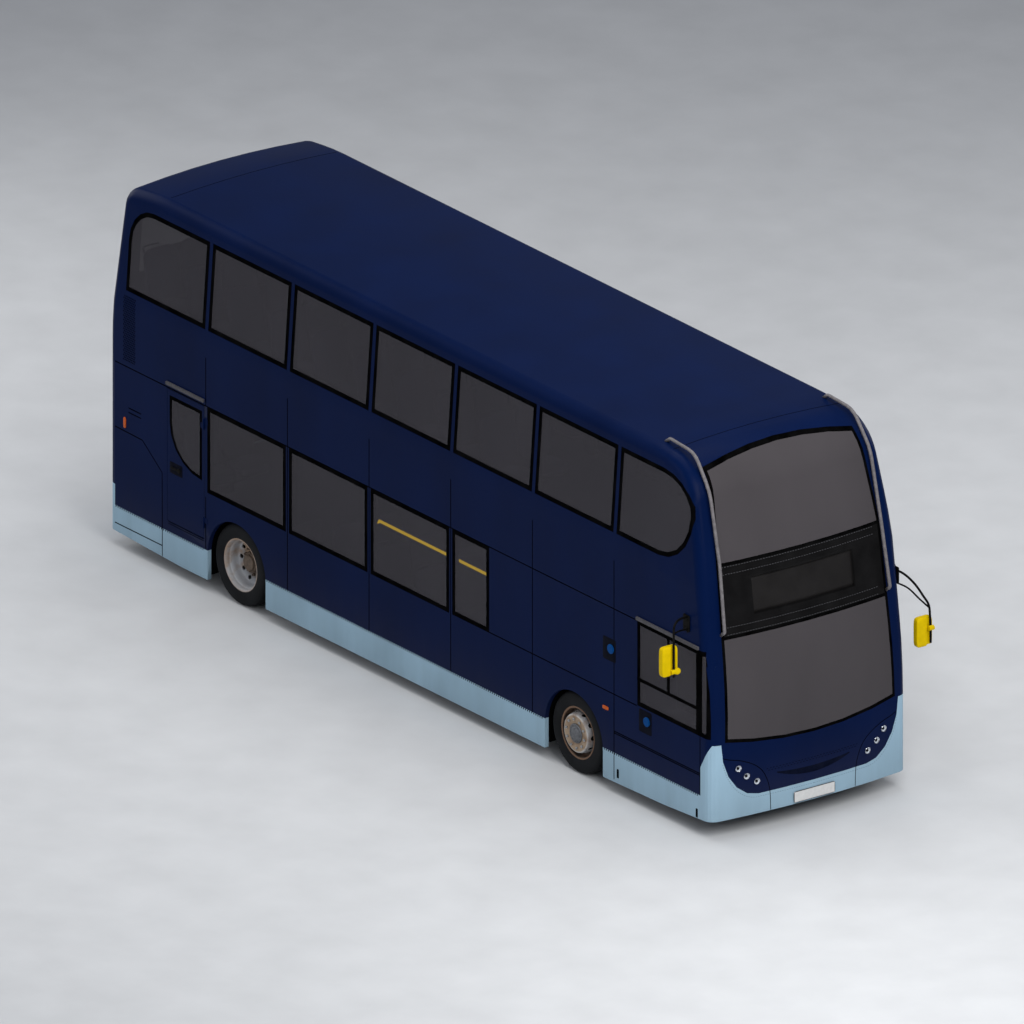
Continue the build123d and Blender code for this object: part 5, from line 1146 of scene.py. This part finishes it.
leaf_paint = plain_finish("leaf_paint", (0.0026, 0.0072, 0.036), 0.38, 0.4, 6.0, 0.06)
for name in ("door_leaf_rear", "door_leaf_front"):
    smooth_copy(name, leaf_paint, 30)
for name in ("door_arms_rear", "door_arms_front"):
    smooth_copy(name, satin_grey, 40, weighted=False)
for name in ("rear", "front"):
    body = "entrance_leaf_" + name
    low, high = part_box("door_leaf_" + name)
    edge_x = high.x + NOSING_OUT if name == "rear" else low.x - NOSING_OUT
    foot, top = (edge_x, high.y - 0.02, low.z + NOSING_INSET), (edge_x, high.y - 0.02, high.z - NOSING_INSET)
    nosing = tube(np.linspace(foot, top, 8), NOSING_RADIUS, 16)
    new_piece("door_nosing_" + name, [nosing], frame_rubber, body)
    low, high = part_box("door_glass_" + name)
    turn = np.linspace(0, 2 * np.pi, 72)
    half_x, half_z = (high.x - low.x) / 2 + 0.004, (high.z - low.z) / 2 + 0.004
    ring_x = (low.x + high.x) / 2 + half_x * eased(np.cos(turn), 0.12)
    ring_z = (low.z + high.z) / 2 + half_z * eased(np.sin(turn), 0.06)
    gasket = np.stack([ring_x, np.full(72, half_width), ring_z], 1)
    bead_piece("door_gasket_" + name, [(gasket, (0, 1, 0))], 0.022, 0.005, frame_rubber, body)

# ---------------------------------------------------------------- emergency door fittings
# A sunk grip in the emergency door, shown as a dark patch of painted shade, with a turning black handle on a
# round boss.
# Both are fixed to the door and swing with it.

HANDLE_X, HANDLE_Z = -4.0975, 1.20
HANDLE_BACK, HANDLE_FRONT, HANDLE_HALF = 0.085, 0.05, 0.012
HANDLE_BOSS = [(0.026, 0.0), (0.026, 0.008), (0.02, 0.013), (0.0002, 0.014)]

# the grip's pocket is a raised patch in painted shade
pocket = flat_patch(HANDLE_X, HANDLE_Z, 0.11, 0.065, -1, 0.0014)
new_piece("handle_pocket", [pocket], pocket_painted_shade, "emergency_exit")
low = (HANDLE_X - HANDLE_BACK, -half_width - 0.014, HANDLE_Z - HANDLE_HALF)
high = (HANDLE_X + HANDLE_FRONT, -half_width - 0.004, HANDLE_Z + HANDLE_HALF)
boss = dome(HANDLE_BOSS, 28, np.array([HANDLE_X + HANDLE_FRONT, -half_width, HANDLE_Z]), (0, -1, 0))
handle = [rounded_block(low, high, 0.4, 13, 32), boss]
new_piece("emergency_handle", handle, tube_black, "emergency_exit")

# ---------------------------------------------------------------- seats
# Double benches: two foam cushions and two backs each, covered in dark blue moquette that is
# seamed round its edge and quilted by two sewn channels, on a moulded shell and a steel pedestal.

CUSHION_HALF = 0.212  # half the width of one place
PLACE_PITCH = 0.46
BACK_RAKE, BACK_PIVOT = 0.15, (0.09, 0, 0.42)
BACK_TOP = 1.05  # height of a CAD back above its floor
BENCH_AHEAD = 0.08  # from a CAD back's rear face to the bench's origin
SEAM_DRAW = 0.006


def pillow(low, high, crown, rows=15, columns=28):
    """Cushion between two corners: an eased box, crowned in the middle, drawn in along its seam."""
    corners, faces = rounded_block(low, high, 0.42, rows, columns)
    low, high = np.asarray(low), np.asarray(high)
    middle, half = (low + high) / 2, (high - low) / 2
    across = (corners - middle) / half
    thin = int(np.argmin(half))
    broad = [axis for axis in range(3) if axis != thin]
    swell = (1 - across[:, broad[0]] ** 2).clip(0) * (1 - across[:, broad[1]] ** 2).clip(0)
    channel = sum(np.exp(-(((across[:, 1] - place) / 0.07) ** 2)) for place in (-0.38, 0.38))
    seam = np.exp(-((across[:, thin] / 0.2) ** 2)) * (np.abs(across[:, broad]).max(1) > 0.8)
    corners[:, thin] += across[:, thin] * (crown * swell - SEAM_DRAW * channel * (swell > 0.05))
    corners[:, broad] -= SEAM_DRAW * seam[:, None] * across[:, broad]
    return corners, faces


def leaned(shape):
    """A shape tipped backwards by the rake about a level line through the pivot."""
    corners, faces = shape
    x, y, z = (corners - BACK_PIVOT).T
    cos, sin = np.cos(BACK_RAKE), np.sin(BACK_RAKE)
    return np.stack([x * cos - z * sin, y, x * sin + z * cos], 1) + BACK_PIVOT, faces


def bench_places(node_name):
    """Foot of each bench, and its width: found from the tops of the CAD node's backs."""
    corners = np.unique(corners_of(node_name).round(3), axis=0)
    places = []
    for floor_z in np.unique(corners[:, 2]):
        tops = corners[np.abs(corners[:, 2] - floor_z - BACK_TOP) < 0.0015]
        feet = corners[np.abs(corners[:, 2] - floor_z) < 0.0015]
        for side_low, side_high in np.unique(tops[:, 1]).reshape(-1, 2) if len(tops) and len(feet) else ():
            rows = np.unique(tops[np.abs(tops[:, 1] - side_low) < 0.002][:, 0])[::2] + BENCH_AHEAD
            places += [(x, (side_low + side_high) / 2, floor_z, side_high - side_low) for x in rows]
    return np.array(places)


def moquette(place):
    """Dark blue wool pile with a lighter spot, matt and finely woven."""
    weave = place.noise(420.0, 2.0)
    spot = place.noise(26.0, 1.0)
    shade = spot.ramp((0.42, (0.010, 0.014, 0.045)), (0.58, (0.018, 0.028, 0.085)), (0.7, (0.05, 0.06, 0.10)))
    return {"Base Color": shade, "Roughness": weave * 0.15 + 0.8, "Normal": weave.bump(0.0012, 0.6)}


seat_cloth = material("seat_moquette", moquette, Sheen_Weight=0.3, Specular_IOR_Level=0.1)
shell_grey = plain_finish("seat_shell_grey", (0.03, 0.031, 0.036), 0.5, 0.5, 20.0, 0.25)
half, bench_half = CUSHION_HALF, 2 * CUSHION_HALF
cushion = pillow((0.075, -half, 0.345), (0.425, half, 0.445), 0.018)
back = leaned(pillow((0.035, -half, 0.45), (0.105, half, 1.03), 0.012))
shell_back = leaned(rounded_block((0.018, -bench_half, 0.36), (0.04, bench_half, 1.0), 0.2, 11, 24))
shell_pan = rounded_block((0.03, -bench_half, 0.315), (0.42, bench_half, 0.35), 0.25, 9, 24)
leg = rounded_block((0.10, -0.04, 0.0), (0.26, 0.04, 0.32), 0.3, 9, 24)
grab_route = [(-0.045, 0.02 - bench_half, 0.97), (-0.065, 0.03 - bench_half, 1.035), (-0.065, -half, 1.04)]
grab = tube(smooth_route(grab_route, 14), 0.011, 10)
for name in ("seats_upper", "seats_lower"):
    places = bench_places(name)
    double = places[places[:, 3] > 0.7][:, :3]
    single = places[places[:, 3] <= 0.7][:, :3]
    feet = [double + (0, shift, 0) for shift in (-PLACE_PITCH / 2, PLACE_PITCH / 2)]
    feet = np.concatenate([*feet, single])
    shapes = [repeated(cushion, feet), repeated(back, feet)]
    cushions = new_piece(name + "_cushions", shapes, seat_cloth, stands_for=name)
    shapes = [repeated(shape, double) for shape in (shell_back, shell_pan, leg, grab)]
    if len(single):
        narrow = [(corners * (1, 0.5, 1), faces) for corners, faces in (shell_back, shell_pan, leg)]
        shapes += [repeated(shape, single) for shape in narrow]
    new_piece(name + "_shells", shapes, shell_grey)
